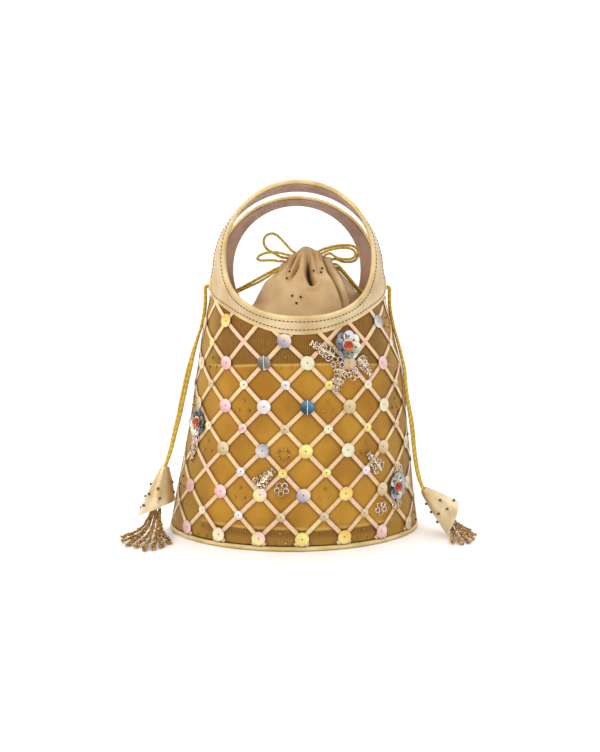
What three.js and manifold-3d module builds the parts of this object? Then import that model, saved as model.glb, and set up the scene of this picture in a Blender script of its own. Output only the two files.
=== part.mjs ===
import * as THREE from 'three';
import { mergeVertices } from 'three/addons/utils/BufferGeometryUtils.js';
import Module from 'manifold-3d';

// Potli bag, millimetres, +Z up, front towards -Y, standing on z = 0

// Bucket wall: a pointed oval that narrows upwards
const BASE_HALF_WIDTH = 100;
const WIDTH_LEAN = 0.153;
const BASE_HALF_DEPTH = 57;
const DEPTH_LEAN = 0.023;
const POINTEDNESS = 1.2;
const WALL_THICKNESS = 1.2;
const SEAM_GAP = 0.3;

// Base board and its piping
const BOARD_THICKNESS = 3.9;
const BASE_PIPING_RADIUS = 1.6;
const BASE_PIPING_HEIGHT = 2.0;
const WALL_FOOT = BOARD_THICKNESS + 0.3;

// Outer edge of the leather ring: the handle's rear edge above, the band's lower edge below
const HANDLE_REAR = 9.5;
const ARCH_SPRING = 205;
const ARCH_RISE = 63;
const ARCH_INSET = 2.6;
const ARCH_HALF_WIDTH = BASE_HALF_WIDTH - WIDTH_LEAN * ARCH_SPRING - ARCH_INSET;
const RIM_DROP = 51.3;
const RIM_LIFT = 30;

// Oval opening in each face, bounded by the inner piping
const STRAP_WIDTH = 10;
const OPENING_HALF_WIDTH = ARCH_HALF_WIDTH - STRAP_WIDTH;
const OPENING_CENTRE_HEIGHT = ARCH_SPRING + 8;
const OPENING_DROP = 48.5;
const OPENING_RISE = 55;
const OPENING_SQUARENESS = 2.3;
const STRAIGHT_FALL = 12;
const HANDLE_FRONT = 27.7;

// Leather ring, lining and pipings
const RING_OUTER = 1.3;
const RING_INNER = -0.5;
const LINING_OUTER = -0.8;
const LINING_INNER = -1.9;
const INNER_PIPING_RADIUS = 1.8;
const OUTER_PIPING_RADIUS = 1.4;
const PIPING_GAP = 0.3;

// Leather patch on each side, between the two handles, and the seam ribbon under it
const PATCH_HALF_WIDTH = 7.5;
const PATCH_THICKNESS = 1.8;
const PATCH_OUTER = 1.4;
const PATCH_TOP = ARCH_SPRING - 1;
const PATCH_FOOT = PATCH_TOP - 19.5;
const PANEL_TOP = PATCH_FOOT - 0.5;
const PANEL_GAP = 1.0;
const SEAM_RIBBON_HALF_WIDTH = 2.2;
const SEAM_RIBBON_OUTER = 1.0;
const SEAM_RIBBON_INNER = 0.4;
const SEAM_RIBBON_FOOT = 6;
const SEAM_RIBBON_TOP = PATCH_FOOT - 1.5;
const EYELET_HEIGHT = PATCH_TOP - 10;
const EYELET_RADIUS = 3.6;
const EYELET_LIFT = PATCH_OUTER + 0.4;

// Ribbon lattice laid on the wall
const STEP_ACROSS = 15.25;
const STEP_UP = 15.5;
const FIRST_ROW = 9.0;
const PHASE = 3.5;
const RIBBON_HALF_WIDTH = 1.5;
const RIBBON_THICKNESS = 0.5;
const LATTICE_GAP = 0.4;
const LATTICE_EDGE_GAP = 1.2;
const LATTICE_FOOT_GAP = 0.6;
const LATTICE_SIDE_GAP = 0.8;
const LARGE_SEQUIN_RADIUS = 5.0;

// Ornaments lie over the lattice
const ORNAMENT_GAP = 0.35;
const ORNAMENT_SIDE_GAP = 0.5;
const OVER_RIBBONS = LATTICE_GAP + RIBBON_THICKNESS + ORNAMENT_GAP;
const FLOWER_RADIUS = 10.5;
const FLOWER_THICKNESS = 1.8;
const SPRAY_THICKNESS = 0.8;

// Pouch
const POUCH_CLEARANCE = 2.6;
const POUCH_FOLDS = 9;
const FOLD_DEPTH = 0.12;
const FOLD_FOOT = 160;
const FOLD_RISE = 50;

// Cords
const CORD_RADIUS = 1.15;
const CONE_GAP = 0.8;

// Tassels
const CONE_TIP_RADIUS = 2.6;
const CONE_MOUTH_RADIUS = 12;
const CONE_WALL = 1.0;
const BEAD_RADIUS = 1.5;
const THREAD_RADIUS = 0.7;
const BEAD_STEP = 5.0;
const STRAND_SIDES = 4;
const KNOT_RADIUS = 4.8;
const KNOT_DEPTH = 0.5;

const wasm = await Module();
wasm.setup();

const vec = (x, y, z) => new THREE.Vector3(x, y, z);
const lerp = (a, b, t) => a + (b - a) * t;
const halfWidth = (z) => BASE_HALF_WIDTH - WIDTH_LEAN * z;
const halfDepth = (z) => BASE_HALF_DEPTH - DEPTH_LEAN * z;
const signedPower = (v, p) => Math.sign(v) * Math.abs(v) ** p;

// Point of the wall at bearing w (0 = front, +90 deg = +X side) and height z, moved outwards
function wallPoint(w, z, out = 0) {
  return vec(
    (halfWidth(z) + out) * Math.sin(w),
    -(halfDepth(z) + out) * signedPower(Math.cos(w), POINTEDNESS),
    z,
  );
}

// Bearing of the point that lies s along the wall from the front middle at height z
function bearingAt(s, z) {
  const step = Math.PI / 180;
  let travelled = 0;
  let w = 0;
  let here = wallPoint(0, z);
  while (w < Math.PI / 2 - step / 2) {
    const next = wallPoint(w + step, z);
    const length = next.distanceTo(here);
    if (travelled + length >= Math.abs(s)) {
      return Math.sign(s) * (w + (step * (Math.abs(s) - travelled)) / length);
    }
    travelled += length;
    w += step;
    here = next;
  }
  return Math.sign(s) * (Math.PI / 2 + (Math.abs(s) - travelled) / halfWidth(z));
}

function quarterGirth(z) {
  let length = 0;
  for (let i = 0; i < 90; i += 1) {
    const w = (i * Math.PI) / 180;
    length += wallPoint(w, z).distanceTo(wallPoint(w + Math.PI / 180, z));
  }
  return length;
}

const onFront = (s, z, out) => wallPoint(bearingAt(s, z), z, out);
const turned = (p) => vec(-p.x, -p.y, p.z);
const mirrored = (p) => vec(p.x, -p.y, p.z);

// Height of the rim band's lower edge over the front of the wall
const rimLine = (x) => ARCH_SPRING - RIM_DROP + RIM_LIFT * (x / ARCH_HALF_WIDTH) ** 2;

const group = new THREE.Group();

function material(colour, roughness, metalness = 0) {
  return new THREE.MeshStandardMaterial({ color: colour, roughness, metalness });
}

const AMBER_SATIN = material('#B9822F', 0.55);
const GOLD_LEATHER = material('#DCC590', 0.42, 0.15);
const GOLD_PIPING = material('#E3B95E', 0.38, 0.25);
const ROSY_LINING = material('#B08A70', 0.7);
const PEACH_RIBBON = material('#EBCFA8', 0.5);
const TAUPE_SATIN = material('#B8966A', 0.5);
const GOLD_CORD = material('#C9A227', 0.45, 0.2);
const SILVER_SEQUIN = material('#D9D4CC', 0.2, 0.5);
const GOLD_WIRE = material('#CFA55A', 0.3, 0.8);
const BRONZE_BEAD = material('#8A5A2A', 0.3, 0.7);
const BOARD_CLOTH = material('#8A6428', 0.8);
const BRASS = material('#C69A45', 0.3, 0.9);

function add(name, geometry, look) {
  const mesh = new THREE.Mesh(geometry, look);
  mesh.name = name;
  group.add(mesh);
}

// Indexed geometry, turned so that its faces look outwards
function solid(points, faces) {
  let volume = 0;
  for (const [a, b, c] of faces) {
    volume += points[a].dot(vec(0, 0, 0).crossVectors(points[b], points[c]));
  }
  const ordered = volume < 0 ? faces.map(([a, b, c]) => [a, c, b]) : faces;
  const geometry = new THREE.BufferGeometry();
  geometry.setAttribute('position', new THREE.Float32BufferAttribute(points.flatMap((p) => [p.x, p.y, p.z]), 3));
  geometry.setIndex(ordered.flat());
  geometry.computeVertexNormals();
  return geometry;
}

// Closed rings of equal count joined into one body, capped at both ends
function lofted(rings) {
  const count = rings[0].length;
  const points = rings.flat();
  const faces = [];
  for (let i = 0; i < rings.length - 1; i += 1) {
    for (let j = 0; j < count; j += 1) {
      const a = i * count + j;
      const b = i * count + ((j + 1) % count);
      faces.push([a, b, b + count], [a, b + count, a + count]);
    }
  }
  for (const end of [0, rings.length - 1]) {
    const middle = points.length;
    const centre = rings[end].reduce((sum, p) => sum.add(p), vec(0, 0, 0)).divideScalar(count);
    points.push(centre);
    for (let j = 0; j < count; j += 1) {
      const a = end * count + j;
      const b = end * count + ((j + 1) % count);
      faces.push(end === 0 ? [middle, b, a] : [middle, a, b]);
    }
  }
  return solid(points, faces);
}

// Flat faces with a top and a bottom skin and walls along every open edge
function plate(count, faces, top, bottom) {
  const points = [];
  for (let i = 0; i < count; i += 1) points.push(top(i));
  for (let i = 0; i < count; i += 1) points.push(bottom(i));
  const skins = [];
  const edges = new Map();
  for (const [a, b, c] of faces) {
    skins.push([a, b, c], [a + count, c + count, b + count]);
    for (const [u, v] of [[a, b], [b, c], [c, a]]) edges.set(`${u},${v}`, [u, v]);
  }
  for (const [u, v] of edges.values()) {
    if (!edges.has(`${v},${u}`)) skins.push([u, u + count, v + count], [u, v + count, v]);
  }
  return solid(points, skins);
}

// Grid of points [i][j] as plate faces, closed in i when asked
function gridPlate(outer, inner, closed = false) {
  const columns = outer.length;
  const rows = outer[0].length;
  const faces = [];
  for (let i = 0; i < (closed ? columns : columns - 1); i += 1) {
    for (let j = 0; j < rows - 1; j += 1) {
      const a = i * rows + j;
      const b = ((i + 1) % columns) * rows + j;
      faces.push([a, b, b + 1], [a, b + 1, a + 1]);
    }
  }
  const flatOuter = outer.flat();
  const flatInner = inner.flat();
  return plate(flatOuter.length, faces, (i) => flatOuter[i], (i) => flatInner[i]);
}

// Tube round a closed line of points
function ringTube(line, radius, sides) {
  const count = line.length;
  const points = [];
  const faces = [];
  const middle = line.reduce((sum, p) => sum.add(p), vec(0, 0, 0)).divideScalar(count);
  for (let i = 0; i < count; i += 1) {
    const along = line[(i + 1) % count].clone().sub(line[(i + count - 1) % count]).normalize();
    const away = line[i].clone().sub(middle);
    const across = away.sub(along.clone().multiplyScalar(away.dot(along))).normalize();
    const third = vec(0, 0, 0).crossVectors(along, across);
    for (let k = 0; k < sides; k += 1) {
      const turn = ((k + 0.5) * 2 * Math.PI) / sides;
      points.push(line[i].clone()
        .addScaledVector(across, radius * Math.cos(turn))
        .addScaledVector(third, radius * Math.sin(turn)));
    }
  }
  for (let i = 0; i < count; i += 1) {
    for (let k = 0; k < sides; k += 1) {
      const a = i * sides + k;
      const b = i * sides + ((k + 1) % sides);
      const c = ((i + 1) % count) * sides + k;
      const d = ((i + 1) % count) * sides + ((k + 1) % sides);
      faces.push([a, b, d], [a, d, c]);
    }
  }
  return solid(points, faces);
}

// Base board with its flat under side, and the piping round it
function wallRing(z, out, count) {
  return Array.from({ length: count }, (_, i) => wallPoint((i * 2 * Math.PI) / count, z, out));
}

function ringAt(height, out, count, level) {
  return wallRing(height, out, count).map((p) => vec(p.x, p.y, level));
}

const BOARD_INSET = -(BASE_PIPING_RADIUS + 0.6);
add('base_board', lofted([
  ringAt(0, BOARD_INSET, 48, 0),
  ringAt(0, BOARD_INSET, 48, BOARD_THICKNESS),
]), BOARD_CLOTH);
add('base_piping', ringTube(ringAt(0, -0.2, 44, BASE_PIPING_HEIGHT), BASE_PIPING_RADIUS, 6), GOLD_PIPING);

// Front and back wall panels, each from side seam to side seam, cut to the rim band's edge
function panelTop(w) {
  let z = ARCH_SPRING - RIM_DROP;
  for (let i = 0; i < 6; i += 1) {
    z = Math.min(rimLine(wallPoint(w, z).x) - OUTER_PIPING_RADIUS - PANEL_GAP, PANEL_TOP);
  }
  return z;
}

const SEAM_ANGLE = SEAM_GAP / 2 / 12;

function wallPanel(place) {
  const columns = 26;
  const rows = 5;
  const skin = (out) => {
    const grid = [];
    for (let i = 0; i <= columns; i += 1) {
      const part = -1 + (2 * i) / columns;
      const column = [];
      for (let j = 0; j <= rows; j += 1) {
        const w = part * (Math.PI / 2 - SEAM_ANGLE);
        column.push(place(wallPoint(w, lerp(WALL_FOOT, panelTop(w), j / rows), out)));
      }
      grid.push(column);
    }
    return grid;
  };
  return gridPlate(skin(0), skin(-WALL_THICKNESS));
}

add('front_panel', wallPanel((p) => p), AMBER_SATIN);
add('back_panel', wallPanel(mirrored), AMBER_SATIN);

// Leather ring of one face: stations round the opening with an inner and an outer edge
function bearingOf(x, z) {
  return Math.asin(THREE.MathUtils.clamp(x / halfWidth(z), -1, 1));
}

function openingEdge(angle) {
  const below = angle < Math.PI / 2;
  const power = below ? 2 / OPENING_SQUARENESS : 1;
  const x = OPENING_HALF_WIDTH * Math.sin(angle) ** power;
  const rise = below ? OPENING_DROP : OPENING_RISE;
  const z = OPENING_CENTRE_HEIGHT - rise * signedPower(Math.cos(angle), power);
  if (z > OPENING_CENTRE_HEIGHT - STRAIGHT_FALL) return vec(x, -HANDLE_FRONT, z);
  const onWall = wallPoint(bearingOf(x, z), z);
  return vec(x, Math.min(onWall.y, -HANDLE_FRONT), z);
}

// Lower edge of the band as shares of the arch's half width and of the rim's drop
const bandLine = new THREE.CatmullRomCurve3([
  [0, 1], [0.227, 0.971], [0.455, 0.879], [0.682, 0.729], [0.879, 0.548], [0.985, 0.429], [1.039, 0.312],
  [1.036, 0.156], [1, 0],
].map(([x, drop]) => vec(x * ARCH_HALF_WIDTH, 0, ARCH_SPRING - drop * RIM_DROP)), false, 'centripetal');

function outerEdge(part) {
  if (part <= 1) {
    const at = bandLine.getPointAt(part);
    const depth = -wallPoint(bearingOf(at.x, at.z), at.z).y;
    return vec(at.x, -Math.max(depth, HANDLE_REAR), at.z);
  }
  const turn = ((part - 1) * Math.PI) / 2;
  return vec(ARCH_HALF_WIDTH * Math.cos(turn), -HANDLE_REAR, ARCH_SPRING + ARCH_RISE * Math.sin(turn));
}

// The ring hugs the wall below the spring of the arch and lets go of it over the fade
const HUG_FADE = 15;
const BAND_STEPS = 9;
const ARCH_STEPS = 8;

function ringStations() {
  const half = [];
  for (let i = 0; i <= BAND_STEPS + ARCH_STEPS; i += 1) {
    const part = i <= BAND_STEPS ? i / BAND_STEPS : 1 + (i - BAND_STEPS) / ARCH_STEPS;
    half.push([openingEdge((part * Math.PI) / 2), outerEdge(part)]);
  }
  const flip = ([a, b]) => [vec(-a.x, a.y, a.z), vec(-b.x, b.y, b.z)];
  return [...half, ...half.slice(1, -1).reverse().map(flip)];
}

const stations = ringStations();

// Strip of the ring between its pipings, with a surface normal at every point
function ringSkin(offset) {
  const across = 2;
  const rows = stations.map(([inner, outer]) => {
    const width = inner.distanceTo(outer);
    const from = (INNER_PIPING_RADIUS + PIPING_GAP) / width;
    const to = 1 - (OUTER_PIPING_RADIUS + PIPING_GAP) / width;
    return Array.from({ length: across + 1 }, (_, j) => {
      const t = lerp(from, to, j / across);
      const straight = inner.clone().lerp(outer, t);
      const hug = THREE.MathUtils.clamp((ARCH_SPRING - straight.z) / HUG_FADE, 0, 1) * Math.sin(Math.PI * t) ** 0.5;
      return straight.lerp(wallPoint(bearingOf(straight.x, straight.z), straight.z), hug);
    });
  });
  const count = rows.length;
  return rows.map((row, i) => row.map((p, j) => {
    const along = rows[(i + 1) % count][j].clone().sub(rows[(i + count - 1) % count][j]);
    const over = row[Math.min(j + 1, across)].clone().sub(row[Math.max(j - 1, 0)]);
    const normal = vec(0, 0, 0).crossVectors(over, along).normalize();
    return p.clone().addScaledVector(normal, offset);
  }));
}

function ring(outerOffset, innerOffset, place) {
  const outer = ringSkin(outerOffset).map((row) => row.map(place));
  const inner = ringSkin(innerOffset).map((row) => row.map(place));
  return gridPlate(outer, inner, true);
}

for (const [side, place] of [['front', (p) => p.clone()], ['back', mirrored]]) {
  add(`${side}_ring`, ring(RING_OUTER, RING_INNER, place), GOLD_LEATHER);
  add(`${side}_ring_lining`, ring(LINING_OUTER, LINING_INNER, place), ROSY_LINING);
  add(`${side}_opening_piping`, ringTube(stations.map(([a]) => place(a)), INNER_PIPING_RADIUS, 6), GOLD_PIPING);
  add(`${side}_edge_piping`, ringTube(stations.map(([, b]) => place(b)), OUTER_PIPING_RADIUS, 6), GOLD_PIPING);
}

// Side patches of leather between the handles, ribbons down the seams, eyelets
function sideStrip(sign, widthHalf, foot, top, outer, inner, rows) {
  const columns = 4;
  const skin = (out) => {
    const grid = [];
    for (let i = 0; i <= columns; i += 1) {
      const y = lerp(-widthHalf, widthHalf, i / columns);
      const column = [];
      for (let j = 0; j <= rows; j += 1) {
        const z = lerp(foot, top, j / rows);
        const lean = Math.acos((Math.abs(y) / halfDepth(z)) ** (1 / POINTEDNESS));
        const p = wallPoint(lean, z);
        column.push(vec(sign * (p.x + out), y, z));
      }
      grid.push(column);
    }
    return grid;
  };
  return gridPlate(skin(outer), skin(inner));
}

function eyelet(sign) {
  const profile = [[0, 0], [EYELET_RADIUS, 0], [EYELET_RADIUS, 0.6], [2.6, 1.1], [1.6, 0.7], [0, 0.7]];
  const geometry = new THREE.LatheGeometry(profile.map(([r, h]) => new THREE.Vector2(r, h)), 14);
  geometry.rotateZ((-sign * Math.PI) / 2);
  geometry.rotateY(-sign * Math.atan(WIDTH_LEAN));
  geometry.translate(sign * (halfWidth(EYELET_HEIGHT) + EYELET_LIFT), 0, EYELET_HEIGHT);
  return geometry;
}

for (const [side, sign] of [['left', -1], ['right', 1]]) {
  const patch = [PATCH_HALF_WIDTH, PATCH_FOOT, PATCH_TOP, PATCH_OUTER, PATCH_OUTER - PATCH_THICKNESS, 3];
  const ribbon = [
    SEAM_RIBBON_HALF_WIDTH, SEAM_RIBBON_FOOT, SEAM_RIBBON_TOP, SEAM_RIBBON_OUTER, SEAM_RIBBON_INNER, 6,
  ];
  add(`${side}_side_patch`, sideStrip(sign, ...patch), GOLD_LEATHER);
  add(`${side}_seam_ribbon`, sideStrip(sign, ...ribbon), PEACH_RIBBON);
  add(`${side}_eyelet`, eyelet(sign), BRASS);
}

// Lattice of slanting ribbons with a sequin on every crossing
const SLANTS = [[1, 1], [-1, 1], [-1, -1], [1, -1]];

function crossing(row, column, sequins) {
  const s = PHASE + column * STEP_ACROSS;
  const z = FIRST_ROW + row * STEP_UP;
  const large = sequins && row % 2 === 0;
  const corners = [];
  for (let d = 0; d < 4; d += 1) {
    const facing = Math.PI / 4 + (d * Math.PI) / 2;
    if (large) {
      const spread = Math.asin(RIBBON_HALF_WIDTH / LARGE_SEQUIN_RADIUS);
      for (const turn of [facing - spread, facing + spread]) {
        corners.push([s + LARGE_SEQUIN_RADIUS * Math.cos(turn), z + LARGE_SEQUIN_RADIUS * Math.sin(turn)]);
      }
    } else {
      const turn = facing - Math.PI / 4;
      const reach = RIBBON_HALF_WIDTH * Math.SQRT2;
      corners.push([s + reach * Math.cos(turn), z + reach * Math.sin(turn)]);
    }
  }
  const arms = SLANTS.map((_, d) => (large ? [2 * d, 2 * d + 1] : [d, (d + 1) % 4]));
  return { row, column, s, z, corners, arms };
}

function onLattice(s, z) {
  const x = onFront(s, z, 0).x;
  const roof = Math.min(rimLine(x) - OUTER_PIPING_RADIUS - LATTICE_EDGE_GAP, PANEL_TOP - 2);
  const margin = quarterGirth(z) - SEAM_RIBBON_HALF_WIDTH - LATTICE_SIDE_GAP - Math.abs(s);
  return z > WALL_FOOT + LATTICE_FOOT_GAP && z < roof && margin > 0;
}

function lattice(place, sequins) {
  const flat = [];
  const faces = [];
  const found = new Map();
  const point = ([s, z]) => flat.push([s, z]) - 1;
  for (let row = 0; row <= 12; row += 1) {
    for (let column = -8; column <= 8; column += 1) {
      if ((row + column) % 2 !== 0) continue;
      const node = crossing(row, column, sequins);
      if (!node.corners.every(([s, z]) => onLattice(s, z))) continue;
      node.ids = node.corners.map(point);
      for (let i = 1; i < node.ids.length - 1; i += 1) faces.push([node.ids[0], node.ids[i], node.ids[i + 1]]);
      found.set(`${row},${column}`, node);
    }
  }
  const strip = (right, left) => {
    for (let i = 0; i < right.length - 1; i += 1) {
      faces.push([right[i], right[i + 1], left[i + 1]], [right[i], left[i + 1], left[i]]);
    }
  };
  const between = (p, q, t) => [lerp(p[0], q[0], t), lerp(p[1], q[1], t)];
  for (const node of found.values()) {
    SLANTS.forEach(([dx, dz], d) => {
      const other = found.get(`${node.row + dz},${node.column + dx}`);
      const [a, b] = node.arms[d];
      const bent = Math.abs(node.s + (dx * STEP_ACROSS) / 2) > 55;
      if (other) {
        if (dz < 0) return;
        const [c, e] = other.arms[(d + 2) % 4];
        const stops = bent ? [0.5] : [];
        const right = stops.map((t) => point(between(node.corners[a], other.corners[e], t)));
        const left = stops.map((t) => point(between(node.corners[b], other.corners[c], t)));
        strip([node.ids[a], ...right, other.ids[e]], [node.ids[b], ...left, other.ids[c]]);
        return;
      }
      const ghost = crossing(node.row + dz, node.column + dx, sequins);
      const [c, e] = ghost.arms[(d + 2) % 4];
      let reach = 0;
      for (let t = 0.06; t <= 0.8; t += 0.02) {
        const edge = [between(node.corners[a], ghost.corners[e], t), between(node.corners[b], ghost.corners[c], t)];
        if (!edge.every(([s, z]) => onLattice(s, z))) break;
        reach = t;
      }
      if (reach < 0.12) return;
      const stops = bent && reach > 0.4 ? [reach / 2, reach] : [reach];
      strip(
        [node.ids[a], ...stops.map((t) => point(between(node.corners[a], ghost.corners[e], t)))],
        [node.ids[b], ...stops.map((t) => point(between(node.corners[b], ghost.corners[c], t)))],
      );
    });
  }
  const lay = (out) => (i) => place(onFront(flat[i][0], flat[i][1], out));
  return plate(flat.length, faces, lay(LATTICE_GAP + RIBBON_THICKNESS), lay(LATTICE_GAP));
}

add('front_lattice', lattice((p) => p, true), PEACH_RIBBON);
add('back_lattice', lattice(turned, false), PEACH_RIBBON);

// An ornament inside one diamond lies on the wall; one that meets a ribbon or a sequin lies over the lattice
function offRibbons(s, z) {
  const across = (s - PHASE) / STEP_ACROSS;
  const up = (z - FIRST_ROW) / STEP_UP;
  const nearest = (v) => Math.abs(v - 2 * Math.round(v / 2));
  const distance = (Math.min(nearest(across + up), nearest(across - up)) * STEP_ACROSS) / Math.SQRT2;
  const sequin = Math.hypot(nearest(across) * STEP_ACROSS, nearest(up) * STEP_UP);
  return distance > RIBBON_HALF_WIDTH + ORNAMENT_SIDE_GAP && sequin > LARGE_SEQUIN_RADIUS + ORNAMENT_SIDE_GAP;
}

// Outline in the plane of the wall, with holes
function laid(outline, holes, middle, thickness) {
  const clear = outline.every(([s, z]) => offRibbons(middle[0] + s, middle[1] + z));
  const floor = clear ? ORNAMENT_GAP : OVER_RIBBONS;
  const rings = [outline, ...holes].map((line) => line.map(([s, z]) => new THREE.Vector2(s, z)));
  if (THREE.ShapeUtils.isClockWise(rings[0])) rings[0].reverse();
  const faces = THREE.ShapeUtils.triangulateShape(rings[0], rings.slice(1));
  const flat = rings.flat();
  const lay = (out) => (i) => onFront(middle[0] + flat[i].x, middle[1] + flat[i].y, out);
  return plate(flat.length, faces, lay(floor + thickness), lay(floor));
}

function scalloped(radius, depth, lobes, count) {
  return Array.from({ length: count }, (_, i) => {
    const turn = (i * 2 * Math.PI) / count;
    const reach = radius * (1 - depth + depth * Math.abs(Math.cos((lobes * turn) / 2)));
    return [reach * Math.cos(turn), reach * Math.sin(turn)];
  });
}

const FLOWERS = { top_right: [33, 146], left: [-86, 88], lower_right: [79.5, 40] };
for (const [where, middle] of Object.entries(FLOWERS)) {
  add(`flower_${where}`,
    laid(scalloped(FLOWER_RADIUS, 0.25, 7, 28), [scalloped(1.2, 0, 1, 6).reverse()], middle, FLOWER_THICKNESS),
    SILVER_SEQUIN);
}

// Looped wire sprays: a stem with paired lobes, pointing along a bearing in the wall's plane
function spray(length, spread, bearing) {
  const side = [[0, 0.6], [0.2, 0.9], [0.28, 0.55], [0.45, 1], [0.52, 0.5], [0.68, 0.85], [0.75, 0.4], [0.9, 0.5]];
  const turnBy = ([u, v]) => [
    length * (u - 0.5) * Math.cos(bearing) - v * Math.sin(bearing),
    length * (u - 0.5) * Math.sin(bearing) + v * Math.cos(bearing),
  ];
  const upper = side.map(([u, v]) => [u, v * spread]);
  const lower = side.map(([u, v]) => [u, -v * spread]).reverse();
  return [...upper.map(turnBy), turnBy([1, 0]), ...lower.map(turnBy)];
}

const SPRAYS = {
  upper_left: [[15.5, 142], 15, 4, 2.6],
  upper_right: [[48.6, 132.4], 13, 3.6, -0.9],
  upper_foot: [[25.5, 121.5], 14, 4, -1.9],
  lower_left: [[-25, 51], 14, 4, 0.8],
  lower_right: [[57, 60], 15, 4, 2.3],
};
for (const [where, [middle, length, spread, bearing]] of Object.entries(SPRAYS)) {
  add(`spray_${where}`, laid(spray(length, spread, bearing), [], middle, SPRAY_THICKNESS), GOLD_WIRE);
}

const WIRE_FLOWERS = { upper: [36.5, 125.5], middle: [-12, 44.5], lower: [63.5, 26] };
for (const [where, middle] of Object.entries(WIRE_FLOWERS)) {
  add(`wire_flower_${where}`,
    laid(scalloped(4.8, 0.35, 5, 20), [scalloped(1.0, 0, 1, 5).reverse()], middle, SPRAY_THICKNESS), GOLD_WIRE);
}

// Pouch: fills the bucket below the rim and rises as a gathered dome
// Pouch above the rim, hand-laid: height, left edge, right edge, half depth
const POUCH_LEVELS = [
  [157, -66, 66, 46], [163, -58, 60, 42], [170, -46, 55, 38], [178, -37, 52, 34], [187, -32, 49, 30],
  [196, -27, 42, 25], [205, -17, 33, 19], [211, -13.6, 29, 15], [216, -9, 25.6, 11], [220, -3.4, 20.4, 8],
  [223, 0.6, 13.5, 5], [225.4, 4, 9, 2.5],
];

function pouch() {
  const count = 36;
  const rings = [WALL_FOOT + 0.2, 80, 146].map((z) => wallRing(z, -POUCH_CLEARANCE, count));
  for (const [z, left, right, depth] of POUCH_LEVELS) {
    const gather = THREE.MathUtils.clamp((z - FOLD_FOOT) / FOLD_RISE, 0, 1) * FOLD_DEPTH;
    rings.push(Array.from({ length: count }, (_, i) => {
      const w = (i * 2 * Math.PI) / count;
      const fold = 1 - gather * (0.5 + 0.5 * Math.cos(POUCH_FOLDS * w));
      const reach = (right - left) / 2;
      return vec((left + right) / 2 + reach * fold * Math.sin(w), -depth * fold * Math.cos(w), z);
    }));
  }
  return lofted(rings);
}

add('pouch', pouch(), TAUPE_SATIN);

// Cords, hand-laid routes in pairs
function cord(route, steps) {
  const path = new THREE.CatmullRomCurve3(route.map(([x, y, z]) => vec(x, y, z)), false, 'centripetal');
  const section = new THREE.Shape();
  section.absarc(0, 0, CORD_RADIUS, 0, 2 * Math.PI);
  return new THREE.ExtrudeGeometry(section, { steps, curveSegments: 4, extrudePath: path });
}

const LEFT_OUTER_A = [
  [-74, 1.5, 194.3], [-76, 1.5, 193.4], [-76.3, 1.5, 187], [-76.2, 1.4, 177], [-77.8, 0.4, 163], [-80.6, -2.8, 152],
  [-83.8, -6, 140], [-86.9, -8.2, 128], [-89.4, -10.2, 116], [-91.6, -12.4, 104], [-93.6, -14.6, 92],
  [-96, -16.6, 80.5], [-99.2, -18, 65.5], [-102.6, -19.4, 53.4],
];
const LEFT_OUTER_B = [
  [-74, -1.4, 194.3], [-76, -1.4, 193.4], [-76.3, -1.5, 187], [-76.2, -2, 177], [-77.4, -3.4, 163],
  [-79.8, -5.9, 152], [-82.2, -8.9, 140], [-84.5, -11, 128], [-86.9, -13, 116], [-89.2, -15.2, 104],
  [-91.4, -17.4, 92], [-94.2, -19.4, 80.5], [-97.8, -21, 65.5], [-102, -22.4, 53.4],
];
const RIGHT_OUTER_A = [
  [74, 1.5, 194.3], [76, 1.5, 193.4], [76.3, 1.5, 187], [76.3, 1.3, 177], [77.8, 0.4, 163], [80.6, -1, 152.5],
  [83.8, -2.6, 139.5], [85.9, -4.6, 128], [86.8, -6.8, 114], [87.9, -8.6, 103.5], [89.6, -10.6, 93],
  [91.2, -12.6, 81], [92, -15, 66.5], [93.1, -17.2, 54], [95, -19, 43], [98, -20, 34.6],
];
const RIGHT_OUTER_B = [
  [74, -1.4, 194.3], [76, -1.4, 193.4], [76.3, -1.5, 187], [76.2, -1.7, 177], [77.7, -2.8, 163],
  [79.8, -4.2, 152.5], [82.6, -5.8, 139.5], [84.4, -7.8, 128], [85.3, -10, 114], [86.4, -11.8, 103.5],
  [87.8, -13.9, 93], [89.1, -15.9, 81], [90.2, -18, 66.5], [91.4, -20.2, 54], [93.6, -22, 43], [97, -22.9, 34.2],
];
const LEFT_INNER_A = [
  [-17.4, -3.6, 207.6], [-22.4, -4, 204.8], [-30.3, -4, 200.4], [-38.2, -3.6, 196], [-46.2, -3, 191.8],
  [-54, -2.2, 188.6], [-61, -1.6, 188], [-68.8, -1.4, 191.6],
];
const LEFT_INNER_B = [
  [-18.8, -6.2, 204.4], [-23.9, -6.6, 200.9], [-31.8, -6.6, 196.2], [-39.7, -6.2, 192.6], [-47.6, -5.6, 189],
  [-55, -4.8, 186.2], [-61.5, -4.2, 185.6], [-68.8, -3.8, 189],
];
const RIGHT_INNER_A = [
  [31.4, -2.4, 211.2], [36, -2.6, 206.6], [41.6, -2.6, 200.2], [47.3, -2.4, 193.6], [53, -2, 189], [60, -1.6, 188],
  [68.8, -1.4, 191.6],
];
const RIGHT_INNER_B = [
  [32.6, 0.6, 208.8], [37.4, 0.4, 204], [42.8, 0.4, 197.8], [48.4, 0.6, 191.4], [54, 0.9, 187], [60.6, 1.1, 186],
  [68.8, 1.4, 189],
];

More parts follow.
